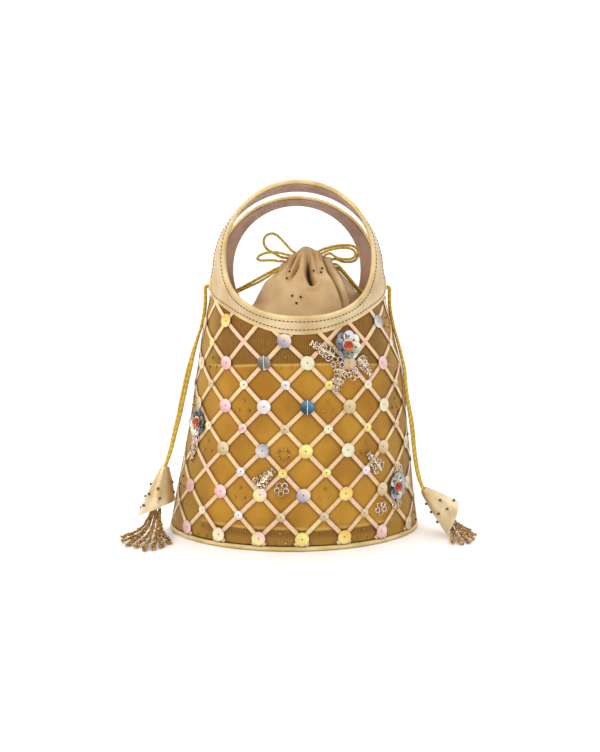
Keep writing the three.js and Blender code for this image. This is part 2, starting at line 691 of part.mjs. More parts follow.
add('left_cord_outer_a', cord(LEFT_OUTER_A, 16), GOLD_CORD);
add('left_cord_outer_b', cord(LEFT_OUTER_B, 16), GOLD_CORD);
add('right_cord_outer_a', cord(RIGHT_OUTER_A, 18), GOLD_CORD);
add('right_cord_outer_b', cord(RIGHT_OUTER_B, 18), GOLD_CORD);
add('left_cord_inner_a', cord(LEFT_INNER_A, 5), GOLD_CORD);
add('left_cord_inner_b', cord(LEFT_INNER_B, 5), GOLD_CORD);
add('right_cord_inner_a', cord(RIGHT_INNER_A, 5), GOLD_CORD);
add('right_cord_inner_b', cord(RIGHT_INNER_B, 5), GOLD_CORD);

// Bow loops at the neck of the pouch
const LEFT_HIGH_LOOP = [
  [-5, -1.6, 222.2], [-8, -1, 225.6], [-12.4, -0.5, 230.4], [-18, 0, 235.4], [-21.7, 0, 236], [-25.6, -0.3, 234.2],
  [-27.4, -0.6, 230.4], [-26.8, -1, 226.4], [-24.4, -1, 223.2], [-19.6, -0.8, 220.6], [-13.4, -0.6, 217.2],
];
const LEFT_FLAT_LOOP = [
  [-10.6, -4.8, 218.8], [-17.4, -5, 220.2], [-23.9, -5, 219.9], [-28.6, -5.4, 218.4], [-31.6, -6, 216.3],
  [-32.2, -6.6, 214.6], [-29.8, -7, 213.4], [-23.9, -7, 213.5], [-19.4, -6.4, 213.6], [-15.6, -5.6, 213],
];
const RIGHT_HIGH_LOOP = [
  [18.6, 1.5, 223.6], [25, 1, 225.7], [31.4, 0.6, 227], [37.6, 0.4, 227.4], [42.9, 0.2, 227.1], [46.5, 0, 225.4],
  [48.4, 0, 222.2], [47.9, 0, 217.8], [45.6, 0, 215], [40.3, 0, 213.9], [34.9, 0, 214.4], [31.4, 0, 216],
];
const RIGHT_FLAT_LOOP = [
  [22, -3.4, 221.6], [26.6, -3, 223.2], [31.5, -3, 224.2], [37.3, -3, 224.6], [41.5, -3, 224.1], [44.6, -3, 222.4],
  [45.9, -3, 220], [45.4, -3, 217.6], [42.3, -3, 215.9], [36.4, -3, 215.6], [31.6, -3, 216.4], [28.4, -3.2, 218.2],
  [25.6, -3.6, 220],
];
add('left_bow_high', cord(LEFT_HIGH_LOOP, 12), GOLD_CORD);
add('left_bow_flat', cord(LEFT_FLAT_LOOP, 10), GOLD_CORD);
add('right_bow_high', cord(RIGHT_HIGH_LOOP, 12), GOLD_CORD);
add('right_bow_flat', cord(RIGHT_FLAT_LOOP, 10), GOLD_CORD);

// Rolled leather cone: solid tip, thin wall, slanted mouth
function cone(tip, mouth, slant) {
  const along = mouth.clone().sub(tip);
  const length = along.length();
  along.normalize();
  const side = vec(0, 0, 0).crossVectors(along, vec(0, 1, 0)).normalize();
  const third = vec(0, 0, 0).crossVectors(along, side);
  const count = 14;
  const band = (part, radius, lean) => Array.from({ length: count }, (_, i) => {
    const turn = (i * 2 * Math.PI) / count;
    return tip.clone()
      .addScaledVector(along, length * part + lean * slant * Math.cos(turn))
      .addScaledVector(side, radius * Math.cos(turn))
      .addScaledVector(third, radius * Math.sin(turn));
  });
  const radiusAt = (part) => lerp(CONE_TIP_RADIUS, CONE_MOUTH_RADIUS, part ** 0.85);
  return lofted([
    band(0, CONE_TIP_RADIUS, 0),
    band(0.35, radiusAt(0.35), 0.2),
    band(0.7, radiusAt(0.7), 0.6),
    band(1, radiusAt(1), 1),
    band(1, radiusAt(1) - CONE_WALL, 1),
    band(0.65, radiusAt(0.65) - CONE_WALL, 0.6),
    band(0.3, radiusAt(0.3) - CONE_WALL - 0.6, 0.2),
  ]);
}

function tipUnder(first, second, mouth) {
  const end = vec(...first[first.length - 1]).lerp(vec(...second[second.length - 1]), 0.5);
  return end.add(mouth.clone().sub(end).setLength(CONE_GAP));
}

const LEFT_MOUTH = vec(-108.4, -25, 22.5);
const RIGHT_MOUTH = vec(118.4, -26, 13.8);
const LEFT_TIP = tipUnder(LEFT_OUTER_A, LEFT_OUTER_B, LEFT_MOUTH);
const RIGHT_TIP = tipUnder(RIGHT_OUTER_A, RIGHT_OUTER_B, RIGHT_MOUTH);
add('left_cone', cone(LEFT_TIP, LEFT_MOUTH, 6), GOLD_LEATHER);
add('right_cone', cone(RIGHT_TIP, RIGHT_MOUTH, 3), GOLD_LEATHER);

// Bead strands: threads with beads, joined in a knot inside the cone
function asManifold(geometry) {
  geometry.deleteAttribute('normal');
  geometry.deleteAttribute('uv');
  const merged = mergeVertices(geometry, 1e-4);
  return new wasm.Manifold(new wasm.Mesh({
    numProp: 3,
    vertProperties: new Float32Array(merged.attributes.position.array),
    triVerts: new Uint32Array(merged.index.array),
  }));
}

function strand(route) {
  const path = new THREE.CatmullRomCurve3(route.map(([x, y, z]) => vec(x, y, z)), false, 'centripetal');
  const beads = Math.max(3, Math.round(path.getLength() / BEAD_STEP));
  const rings = [];
  for (let i = 0; i <= 2 * beads; i += 1) {
    const at = path.getPointAt(i / (2 * beads));
    const along = path.getTangentAt(i / (2 * beads));
    const side = vec(0, 0, 0).crossVectors(along, vec(0.3, 1, 0.2)).normalize();
    const third = vec(0, 0, 0).crossVectors(along, side);
    const radius = i % 2 === 1 && i > beads * 0.8 ? BEAD_RADIUS : THREAD_RADIUS;
    rings.push(Array.from({ length: STRAND_SIDES }, (_, k) => at.clone()
      .addScaledVector(side, radius * Math.cos((k * 2 * Math.PI) / STRAND_SIDES))
      .addScaledVector(third, radius * Math.sin((k * 2 * Math.PI) / STRAND_SIDES))));
  }
  return lofted(rings);
}

function tassel(tip, mouth, ends) {
  const knot = tip.clone().lerp(mouth, KNOT_DEPTH).toArray();
  const ball = new THREE.IcosahedronGeometry(KNOT_RADIUS, 1);
  ball.translate(...knot);
  let body = asManifold(ball);
  for (const [via, end] of ends) body = body.add(asManifold(strand([knot, via, end])));
  const mesh = body.getMesh();
  const geometry = new THREE.BufferGeometry();
  geometry.setAttribute('position', new THREE.Float32BufferAttribute(mesh.vertProperties, 3));
  geometry.setIndex([...mesh.triVerts]);
  geometry.computeVertexNormals();
  return geometry;
}

add('left_bead_strands', tassel(LEFT_TIP, LEFT_MOUTH, [
  [[-119, -28, 8], [-133, -30, 2]], [[-114, -34, 7], [-127, -43, 2]], [[-110, -35, 6], [-115, -49, 2]],
  [[-106, -36, 6], [-104, -53, 2]], [[-102.5, -33, 7], [-97, -45, 2]],
]), BRONZE_BEAD);
add('right_bead_strands', tassel(RIGHT_TIP, RIGHT_MOUTH, [
  [[123, -27, 8], [134, -27, 2]], [[122, -31, 7], [132, -38, 2]], [[120, -33, 6.5], [125, -47, 2]],
  [[117.5, -33, 6], [117, -49, 2]],
]), BRONZE_BEAD);

export default group;
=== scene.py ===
"""Potli bag: the looks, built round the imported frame. Shapes are in millimetres until they become meshes."""

import math
import random

import bpy
import numpy as np
from mathutils import Matrix, Vector


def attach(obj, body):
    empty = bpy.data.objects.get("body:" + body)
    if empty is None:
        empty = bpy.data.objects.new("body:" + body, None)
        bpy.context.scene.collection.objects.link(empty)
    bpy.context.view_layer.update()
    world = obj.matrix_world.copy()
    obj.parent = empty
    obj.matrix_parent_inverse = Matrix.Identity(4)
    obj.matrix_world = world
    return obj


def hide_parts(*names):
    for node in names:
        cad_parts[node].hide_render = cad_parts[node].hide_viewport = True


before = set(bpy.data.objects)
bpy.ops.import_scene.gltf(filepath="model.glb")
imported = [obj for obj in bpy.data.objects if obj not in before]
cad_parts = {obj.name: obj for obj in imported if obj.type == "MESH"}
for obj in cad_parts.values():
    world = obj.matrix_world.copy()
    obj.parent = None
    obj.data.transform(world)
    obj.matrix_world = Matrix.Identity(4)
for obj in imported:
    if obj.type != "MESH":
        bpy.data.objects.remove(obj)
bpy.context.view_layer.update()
rng = random.Random(11)
MM = 0.001
scene = bpy.context.scene

# Camera of the photograph
CAMERA_PLACE = (-11.3, -405.1, 137.2)
CAMERA_PITCH = 0.0377
CAMERA_YAW = 0.0321
FOCAL_PIXELS = 500.3
FRAME_PIXELS = (600, 752)

camera_data = bpy.data.cameras.new("camera")
camera_data.sensor_width = 36.0
camera_data.lens = FOCAL_PIXELS / max(FRAME_PIXELS) * camera_data.sensor_width
camera_data.clip_start = 0.01
camera_data.clip_end = 20.0
camera = bpy.data.objects.new("camera", camera_data)
scene.collection.objects.link(camera)
camera_turn = Matrix.Rotation(math.pi / 2 - CAMERA_PITCH, 4, "X") @ Matrix.Rotation(-CAMERA_YAW, 4, "Y")
camera.matrix_world = Matrix.Translation([c * MM for c in CAMERA_PLACE]) @ camera_turn
scene.camera = camera


# Small helpers for vectors, shares and colours
def unit(v):
    v = np.asarray(v, float)
    return v / np.maximum(np.linalg.norm(v, axis=-1, keepdims=True), 1e-12)


def smoothstep(t):
    t = np.clip(t, 0.0, 1.0)
    return t * t * (3 - 2 * t)


def colour(code):
    """Linear colour of an sRGB hex code."""
    parts = [int(code[i : i + 2], 16) / 255 for i in (1, 3, 5)]
    return tuple(p / 12.92 if p <= 0.04045 else ((p + 0.055) / 1.055) ** 2.4 for p in parts) + (1.0,)


def mixed(a, b, t):
    """The colour that lies the share t of the way from a to b."""
    return tuple(x + (y - x) * t for x, y in zip(a, b))


# Bucket wall: a pointed oval that narrows upwards; the soft wall leans and swells a little as it stands
BASE_HALF_WIDTH, WIDTH_LEAN = 100.0, 0.153
BASE_HALF_DEPTH, DEPTH_LEAN = 57.0, 0.023
POINTEDNESS = 1.2
SWAY_HEIGHTS, SWAY = (0, 30, 60, 100, 130, 160, 180), (-2.4, -1.6, 0, 1.6, 1.8, 0.2, 0)
SWELL, SWELL_HEIGHT, SWELL_SPREAD = 1.1, 125.0, 30.0
WAIST_DIP, WAIST_HEIGHT, WAIST_SPREAD = 2.2, 190.0, 26.0
WALL_FOOT = 4.2
PANEL_TOP = 184.0


def sway(z):
    """Sideways shift of the wall's middle at height z: the bag in the photograph stands a little crooked."""
    return np.interp(z, SWAY_HEIGHTS, SWAY)


def half_width(z):
    """Half width of the wall at height z, a little swollen at mid height and drawn in below the handles."""
    swell = SWELL * np.exp(-(((z - SWELL_HEIGHT) / SWELL_SPREAD) ** 2))
    waist = WAIST_DIP * np.exp(-(((z - WAIST_HEIGHT) / WAIST_SPREAD) ** 2))
    return BASE_HALF_WIDTH - WIDTH_LEAN * z + swell - waist


def half_depth(z):
    return BASE_HALF_DEPTH - DEPTH_LEAN * z


def wall(w, z, out=0.0):
    """Point of the wall at bearing w (0 = front, +90 degrees = +X side) and height z, moved outwards."""
    w, z, out = np.broadcast_arrays(np.asarray(w, float), z, out)
    c = np.cos(w)
    x = (half_width(z) + out) * np.sin(w) + sway(z)
    y = -(half_depth(z) + out) * np.sign(c) * np.abs(c) ** POINTEDNESS
    return np.stack([x, y, z], -1)


# Lengths along the wall are looked up in a table of one quarter of it at even heights
TABLE_ANGLES = np.radians(np.arange(0.0, 91.0))
TABLE_STEP = 5.0
TABLE_HEIGHTS = np.arange(0.0, 226.0, TABLE_STEP)
TABLE_SHARES = np.linspace(0.0, 1.0, 181)


def girth_rows():
    """Length along the wall from the front middle to each table angle, one row for each table height."""
    rows = wall(TABLE_ANGLES[None, :], TABLE_HEIGHTS[:, None])
    steps = np.linalg.norm(np.diff(rows, axis=1), axis=2)
    return np.concatenate([np.zeros((len(rows), 1)), np.cumsum(steps, axis=1)], axis=1)


GIRTHS = girth_rows()
SHARE_ANGLES = np.array([np.interp(TABLE_SHARES * row[-1], row, TABLE_ANGLES) for row in GIRTHS])


def quarter_girth(z):
    """Length along the wall from the front middle to the side seam at height z."""
    return np.interp(z, TABLE_HEIGHTS, GIRTHS[:, -1])


def bearing(s, z):
    """Bearing of the point that lies s along the wall from the front middle at height z."""
    s, z = np.broadcast_arrays(np.asarray(s, float), np.asarray(z, float))
    quarter = quarter_girth(z)
    share = np.abs(s) / quarter
    over = np.maximum(share - 1, 0) * quarter / half_width(z)
    level = np.clip(z / TABLE_STEP, 0, len(TABLE_HEIGHTS) - 1.001)
    low = level.astype(int)
    t = level - low
    place = np.clip(share, 0, 1) * (len(TABLE_SHARES) - 1)
    left = np.minimum(place.astype(int), len(TABLE_SHARES) - 2)
    u = place - left
    below = SHARE_ANGLES[low, left] * (1 - u) + SHARE_ANGLES[low, left + 1] * u
    above = SHARE_ANGLES[low + 1, left] * (1 - u) + SHARE_ANGLES[low + 1, left + 1] * u
    return np.sign(s) * (below * (1 - t) + above * t + over)


def on_front(s, z, out=0.0):
    """Point of the wall that lies s along it from the front middle, moved outwards."""
    return wall(bearing(s, z), z, out)


def turned(points):
    """The points turned half round the middle of the swaying wall, for what is sewn on the back."""
    points = np.asarray(points, float)
    x, y, z = points[..., 0], points[..., 1], points[..., 2]
    return np.stack([2 * sway(z) - x, -y, z], -1)


def mirrored(points):
    """The points mirrored from front to back; Pile.piece turns their faces over."""
    return np.asarray(points) * np.array([1.0, -1.0, 1.0])


def same(points):
    return np.asarray(points)


# Meshes
def flipped(faces):
    return [face[::-1] for face in faces]


def grid_faces(rows, columns, closed_rows=False, closed_columns=False, start=0):
    """Quads of a net of points numbered row by row from start."""
    i, j = np.meshgrid(
        np.arange(rows if closed_rows else rows - 1),
        np.arange(columns if closed_columns else columns - 1),
        indexing="ij",
    )
    i, j = i.ravel(), j.ravel()
    down, right = (i + 1) % rows, (j + 1) % columns
    quads = np.stack([i * columns + j, i * columns + right, down * columns + right, down * columns + j], -1)
    return (quads + start).tolist()


SHARP_ANGLE = math.radians(45.0)


class Pile:
    """Many small solids gathered into one piece, each point with its own colour."""

    def __init__(self):
        self.points, self.faces, self.tints, self.maps, self.count = [], [], [], [], 0

    def put(self, points, faces, tint=(1, 1, 1, 1), spots=None):
        points = np.asarray(points, float).reshape(-1, 3)
        self.points.append(points)
        self.faces.extend([[i + self.count for i in face] for face in faces])
        self.tints.append(np.broadcast_to(np.asarray(tint, float), (len(points), 4)))
        spots = np.zeros((len(points), 2)) if spots is None else np.asarray(spots, float)
        self.maps.append(spots.reshape(-1, 2))
        self.count += len(points)

    def piece(self, name, look, slot=None, stands_for=(), place=same):
        """The finished object: it rides on the root body and may stand for nodes of the part."""
        points = place(np.concatenate(self.points))
        mesh = bpy.data.meshes.new(name)
        faces = flipped(self.faces) if place is mirrored else self.faces
        mesh.from_pydata((points * MM).tolist(), [], faces)
        mesh.update()
        tint = mesh.color_attributes.new("tint", "FLOAT_COLOR", "POINT")
        tint.data.foreach_set("color", np.concatenate(self.tints).astype(np.float32).ravel())
        corners = np.zeros(len(mesh.loops), np.int32)
        mesh.loops.foreach_get("vertex_index", corners)
        spots = mesh.uv_layers.new(name="cloth")
        spots.data.foreach_set("uv", np.concatenate(self.maps)[corners].astype(np.float32).ravel())
        mesh.materials.append(look)
        mesh.shade_smooth()
        mesh.set_sharp_from_angle(angle=SHARP_ANGLE)
        obj = bpy.data.objects.new(name, mesh)
        scene.collection.objects.link(obj)
        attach(obj, "root")
        if stands_for:
            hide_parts(*stands_for)
        return obj


def single(solid, name, look, slot=None, stands_for=(), place=same, spots=None):
    """One solid, given as points and faces, as a piece of its own."""
    pile = Pile()
    pile.put(*solid, spots=spots)
    return pile.piece(name, look, slot, stands_for, place)


def shell(outer, inner, closed=False):
    """Closed body between two nets of points [i][j]; closed joins the last i to the first."""
    rows, columns = outer.shape[:2]
    points = np.concatenate([outer.reshape(-1, 3), inner.reshape(-1, 3)])
    base = rows * columns
    faces = grid_faces(rows, columns, closed)
    faces += flipped(grid_faces(rows, columns, closed, start=base))
    steps = rows if closed else rows - 1
    for j, flip in ((0, False), (columns - 1, True)):
        for i in range(steps):
            a, b = i * columns + j, ((i + 1) % rows) * columns + j
            face = [a, b, b + base, a + base]
            faces.append(face[::-1] if flip else face)
    if not closed:
        for i, flip in ((0, True), (rows - 1, False)):
            for j in range(columns - 1):
                a, b = i * columns + j, i * columns + j + 1
                face = [a, b, b + base, a + base]
                faces.append(face[::-1] if flip else face)
    return points, faces


def frames_along(path, closed=False):
    """Tangents and two cross directions along a path, turning as little as possible."""
    path = np.asarray(path, float)
    if closed:
        tangent = unit(np.roll(path, -1, 0) - np.roll(path, 1, 0))
    else:
        tangent = unit(np.gradient(path, axis=0))
    side = np.zeros_like(path)
    first = np.cross((0.0, 0.0, 1.0), tangent[0])
    if np.linalg.norm(first) < 1e-3:
        first = np.cross((1.0, 0.0, 0.0), tangent[0])
    side[0] = unit(first)
    for i in range(1, len(path)):
        kept = side[i - 1] - tangent[i] * (side[i - 1] @ tangent[i])
        side[i] = unit(kept)
    return tangent, side, np.cross(tangent, side)


def tube(path, radius, sides=8, closed=False, across=None):
    """Points and faces of a round tube; across gives fixed side directions for closed rings."""
    path = np.asarray(path, float)
    tangent, side, third = frames_along(path, closed)
    if across is not None:
        side = unit(across - tangent * np.sum(across * tangent, axis=1, keepdims=True))
        third = np.cross(tangent, side)
    turns = np.linspace(0, 2 * math.pi, sides, endpoint=False)
    radius = np.broadcast_to(np.asarray(radius, float), (len(path),))
    ring = (
        path[:, None]
        + side[:, None] * (np.cos(turns)[None, :, None] * radius[:, None, None])
        + third[:, None] * (np.sin(turns)[None, :, None] * radius[:, None, None])
    )
    points = ring.reshape(-1, 3)
    faces = grid_faces(len(path), sides, closed, True)
    if not closed:
        last = (len(path) - 1) * sides
        faces.append(list(range(sides)))
        faces.append([last + k for k in range(sides)][::-1])
    return points, faces


def ball(centre, radius, rings=5, sides=8, axis=(0.0, 0.0, 1.0), flat=1.0):
    """A small ball, flattened along axis when flat is below 1."""
    axis = unit(axis)
    helper = (1.0, 0.0, 0.0) if abs(axis[0]) < 0.8 else (0.0, 1.0, 0.0)
    u = unit(np.cross(helper, axis))
    v = np.cross(axis, u)
    lean = np.linspace(0, math.pi, rings + 1)[1:-1]
    turn = np.linspace(0, 2 * math.pi, sides, endpoint=False)
    body = (
        np.sin(lean)[:, None, None] * (np.cos(turn)[None, :, None] * u + np.sin(turn)[None, :, None] * v)
        + (np.cos(lean) * flat)[:, None, None] * axis
    )
    points = np.concatenate([[axis * flat], body.reshape(-1, 3), [-axis * flat]])
    points = points * radius + np.asarray(centre)
    rows = rings - 1
    faces = flipped(grid_faces(rows, sides, False, True, start=1))
    last = 1 + rows * sides
    for j in range(sides):
        k = (j + 1) % sides
        faces.append([0, 1 + j, 1 + k])
        faces.append([last, last - sides + k, last - sides + j])
    return points, faces


def spline(route, step):
    """Centripetal curve through given points, resampled to even steps."""
    p = np.asarray(route, float)
    p = np.concatenate([[2 * p[0] - p[1]], p, [2 * p[-1] - p[-2]]])
    line = []
    for i in range(1, len(p) - 2):
        gaps = np.linalg.norm(np.diff(p[i - 1 : i + 3], axis=0), axis=1)
        knots = np.concatenate([[0.0], np.cumsum(gaps**0.5)])
        t = np.linspace(knots[1], knots[2], 24, endpoint=i == len(p) - 3)[:, None]
        a = [
            ((knots[k + 1] - t) * p[i - 1 + k] + (t - knots[k]) * p[i + k]) / (knots[k + 1] - knots[k])
            for k in range(3)
        ]
        b = [
            ((knots[k + 2] - t) * a[k] + (t - knots[k]) * a[k + 1]) / (knots[k + 2] - knots[k])
            for k in range(2)
        ]
        line.append(((knots[2] - t) * b[0] + (t - knots[1]) * b[1]) / (knots[2] - knots[1]))
    return evenly(np.concatenate(line), step)


def evenly(line, step):
    """The line with points at even steps."""
    travelled = np.concatenate([[0.0], np.cumsum(np.linalg.norm(np.diff(line, axis=0), axis=1))])
    count = max(2, int(round(travelled[-1] / step)) + 1)
    at = np.linspace(0, travelled[-1], count)
    return np.stack([np.interp(at, travelled, line[:, k]) for k in range(3)], -1)


def length_of(line):
    return float(np.linalg.norm(np.diff(line, axis=0), axis=1).sum())


# Materials
class Look:
    """A procedural material: a Principled shader and the nodes that feed it."""

    def __init__(self, name, **sockets):
        self.material = bpy.data.materials.new(name)
        self.material.use_nodes = True
        self.tree = self.material.node_tree
        self.shader = self.tree.nodes["Principled BSDF"]
        for socket, value in sockets.items():
            self.shader.inputs[socket.replace("_", " ")].default_value = value

    def node(self, kind, settings=None, **inputs):
        """A shader node; inputs are named by socket, or i0, i1 and so on by number."""
        node = self.tree.nodes.new("ShaderNode" + kind)
        for key, value in (settings or {}).items():
            setattr(node, key, value)
        for key, value in inputs.items():
            numbered = key[0] == "i" and key[1:].isdigit()
            socket = int(key[1:]) if numbered else key.replace("_", " ")
            self.feed(node.inputs[socket], value)
        return node

    def feed(self, socket, value):
        if isinstance(value, bpy.types.NodeSocket):
            self.tree.links.new(value, socket)
        elif isinstance(value, bpy.types.Node):
            self.tree.links.new(value.outputs[0], socket)
        else:
            socket.default_value = value

    def place(self):
        return self.node("TexCoord").outputs["Object"]

    def cloth(self):
        return self.node("UVMap", {"uv_map": "cloth"}).outputs["UV"]

    def tint(self):
        return self.node("Attribute", {"attribute_name": "tint"}).outputs["Color"]

    def noise(self, scale, detail=2.0):
        return self.node("TexNoise", Scale=scale, Detail=detail, Vector=self.place()).outputs["Fac"]

    def math(self, operation, a, b=0.0):
        return self.node("Math", {"operation": operation}, i0=a, i1=b).outputs[0]

    def span(self, value, low, high, to_low=0.0, to_high=1.0):
        """The value's stretch from low to high, led smoothly onto the stretch from to_low to to_high."""
        settings = {"interpolation_type": "SMOOTHSTEP"}
        node = self.node("MapRange", settings, i0=value, i1=low, i2=high, i3=to_low, i4=to_high)
        return node.outputs[0]

    def mix(self, share, a, b, kind="MIX"):
        node = self.node("Mix", {"data_type": "RGBA", "blend_type": kind})
        self.feed(node.inputs[0], share)
        self.feed(node.inputs[6], a)
        self.feed(node.inputs[7], b)
        return node.outputs[2]

    def bump(self, height, strength, distance):
        return self.node("Bump", Strength=strength, Distance=distance, Height=height).outputs[0]

    def done(self, base=None, rough=None, normal=None):
        if base is not None:
            self.feed(self.shader.inputs["Base Color"], base)
        if rough is not None:
            self.feed(self.shader.inputs["Roughness"], rough)
        if normal is not None:
            self.feed(self.shader.inputs["Normal"], normal)
        return self.material


def leather(name, light, dark, grain=900.0, metal=0.2, rough=(0.36, 0.5), coat=0.0):
    """Grained leather, cloth-covered board or brushed metal in two close colours."""
    look = Look(name, Metallic=metal, Coat_Weight=coat, Coat_Roughness=0.3)
    patches = look.span(look.noise(38.0, 3.0), 0.35, 0.68)
    specks = look.noise(grain, 2.0)
    base = look.mix(patches, colour(dark), colour(light))
    base = look.mix(look.span(specks, 0.3, 0.75), look.mix(0.18, base, colour(dark), "MULTIPLY"), base)
    settings = {"feature": "DISTANCE_TO_EDGE"}
    cells = look.node("TexVoronoi", settings, Scale=grain, Vector=look.place()).outputs[0]
    waves = look.math("MULTIPLY", look.noise(120.0, 3.0), 1.2)
    height = look.math("ADD", look.span(cells, 0.0, 0.25), waves)
    rough_value = look.span(look.noise(70.0, 3.0), 0.3, 0.7, rough[0], rough[1])
    return look.done(base, rough_value, look.bump(height, 0.35, 0.00025))


# Lattice of ribbons: half a diamond across and up, its lowest row of crossings and its shift from the middle
STEP_ACROSS, STEP_UP, FIRST_ROW, PHASE = 15.25, 15.5, 9.0, 3.5
RIBBON_HALF_WIDTH = 1.55
SHADE_REACH = 2.6
WHOLE_TURNS = 40
# The satin behind the gauze, in decimetres as the cloth map counts: its top, its foot and its half width
SATIN_TOP, SATIN_FOOT = 1.315, 0.148
SATIN_HALF = (0.6, 0.85)
RIB_PITCH = 0.0125


def ribbon_shade(look, along, up):
    """Soft shade in the gauze beside the ribbons; 1 next to a ribbon, 0 in the open diamond."""
    across = look.math("MULTIPLY_ADD", along, 50 / STEP_ACROSS)
    rows = look.math("MULTIPLY_ADD", up, 50 / STEP_UP)
    across.node.inputs[2].default_value = -PHASE / STEP_ACROSS / 2 + WHOLE_TURNS
    rows.node.inputs[2].default_value = -FIRST_ROW / STEP_UP / 2
    near = None
    for operation in ("ADD", "SUBTRACT"):
        share = look.math("FRACT", look.math("ADD", look.math(operation, across, rows), 0.5))
        off = look.math("ABSOLUTE", look.math("SUBTRACT", share, 0.5))
        near = off if near is None else look.math("MINIMUM", near, off)
    millimetres = look.math("MULTIPLY", near, math.sqrt(2) * STEP_ACROSS)
    return look.span(millimetres, RIBBON_HALF_WIDTH, RIBBON_HALF_WIDTH + SHADE_REACH, 1.0, 0.0)


def gauze(name):
    """Amber satin behind a sheer ribbed gauze; the satin stops short of the rim, the base and the sides."""
    look = Look(name, Specular_IOR_Level=0.25)
    parts = look.node("SeparateXYZ", Vector=look.cloth())
    along, up = parts.outputs[0], parts.outputs[1]
    soft = look.noise(26.0, 3.0)
    wander = look.math("MULTIPLY", look.math("SUBTRACT", look.noise(14.0), 0.5), 0.05)
    level = look.math("ADD", up, wander)
    below_rim = look.span(level, SATIN_TOP, SATIN_TOP + 0.015, 1.0, 0.0)
    above_base = look.span(level, SATIN_FOOT, SATIN_FOOT + 0.014)
    inside = look.span(look.math("ABSOLUTE", look.math("ADD", along, wander)), *SATIN_HALF, 1.0, 0.0)
    ribs = look.math("SINE", look.math("MULTIPLY", along, 2 * math.pi / RIB_PITCH))
    ribs = look.math("ADD", ribs, look.math("MULTIPLY", look.noise(300.0), 1.2))
    rib_share = look.span(ribs, -0.6, 1.6)
    brown = look.mix(rib_share, colour("#6A4512"), colour("#946A22"))
    # Painted shadow: the brown gauze is dark just below the satin and lighter towards the foot.
    foot_out_of_painted_shadow = look.span(up, 0.07, 0.12, 1.0, 0.0)
    brown = look.mix(look.math("MULTIPLY", foot_out_of_painted_shadow, 0.7), brown, colour("#A67C2E"))
    # The gauze towards the side seams: its own beige-olive colour, partly darkened as painted shade at the
    # sides.
    side = look.mix(look.span(soft, 0.3, 0.7), colour("#8E671E"), colour("#AC8232"))
    side = look.mix(look.math("MULTIPLY", rib_share, 0.25), side, colour("#C49C46"))
    amber = look.mix(look.span(soft, 0.36, 0.66), colour("#9C6A12"), colour("#BA8828"))
    amber = look.mix(look.span(look.noise(60.0, 4.0), 0.45, 0.8), amber, colour("#B27C1C"))
    amber = look.mix(look.math("MULTIPLY", rib_share, 0.10), amber, colour("#D7A552"))
    outer = look.mix(inside, side, brown)
    middle = look.math("MULTIPLY", look.math("MULTIPLY", below_rim, above_base), inside)
    base = look.mix(middle, outer, amber)
    # Painted highlight: a thin light line along the satin's top edge and along its foot.
    over_top = look.span(level, SATIN_TOP + 0.003, SATIN_TOP + 0.015, 1.0, 0.0)
    painted_highlight_top = look.math("MULTIPLY", look.span(level, SATIN_TOP - 0.015, SATIN_TOP), over_top)
    over_foot = look.span(level, SATIN_FOOT + 0.014, SATIN_FOOT + 0.032, 1.0, 0.0)
    painted_highlight_foot = look.math("MULTIPLY", look.span(level, SATIN_FOOT - 0.003, SATIN_FOOT + 0.01), over_foot)
    edge = look.math("MULTIPLY", look.math("ADD", painted_highlight_top, painted_highlight_foot), inside)
    base = look.mix(look.math("MULTIPLY", edge, 0.55), base, colour("#D9B160"))
    base = look.mix(look.math("MULTIPLY", ribbon_shade(look, along, up), 0.42), base, colour("#4E300C"))
    height = look.math("ADD", rib_share, look.math("MULTIPLY", look.noise(900.0), 0.4))
    return look.done(base, look.span(soft, 0.3, 0.7, 0.42, 0.55), look.bump(height, 0.35, 0.0002))


def ribbon_look(name):
    """Woven ribbon whose colour drifts between straw, peach and pale yellow, darker at its edges."""
    look = Look(name, Specular_IOR_Level=0.35)
    tone = look.span(look.noise(75.0, 2.0), 0.38, 0.62)
    base = look.mix(tone, colour("#F2D29C"), colour("#F4CDB4"))
    base = look.mix(look.span(look.noise(48.0, 2.0), 0.5, 0.72), base, colour("#F4E2AC"))
    threads = look.noise(1300.0, 1.0)
    base = look.mix(look.span(threads, 0.4, 0.62), look.mix(0.35, base, colour("#B98F5E")), base)
    parts = look.node("SeparateXYZ", Vector=look.cloth())
    edge = look.span(look.math("ABSOLUTE", parts.outputs[1]), 0.78, 0.98)
    base = look.mix(look.math("MULTIPLY", edge, 0.55), base, colour("#A8773F"))
    return look.done(base, 0.45, look.bump(threads, 0.5, 0.0002))


def satin(name, light, middle, dark):
    """Dull satin in three close colours, whose light and dark patches are painted sheen and shade, darkened by
    the tint that carries the painted shade of its folds.
    """
    look = Look(name, Sheen_Weight=0.12, Sheen_Roughness=0.35)
    soft = look.noise(22.0, 2.0)
    # Painted sheen and shade: light patches stand for sheen on the satin, dark patches for its shading.
    base = look.mix(look.span(soft, 0.1, 0.5), colour(dark), colour(middle))
    base = look.mix(look.span(look.noise(30.0, 2.0), 0.45, 0.95), base, colour(light))
    weave = look.noise(1500.0, 1.0)
    base = look.mix(look.math("MULTIPLY", look.span(weave, 0.4, 0.7), 0.16), base, colour(dark))
    # The tint carries painted shade in the creases and painted light on the swells.
    base = look.mix(1.0, base, look.tint(), "MULTIPLY")
    height = look.math("ADD", weave, look.math("MULTIPLY", look.noise(160.0, 3.0), 1.5))
    return look.done(base, look.span(soft, 0.3, 0.7, 0.38, 0.52), look.bump(height, 0.3, 0.0002))


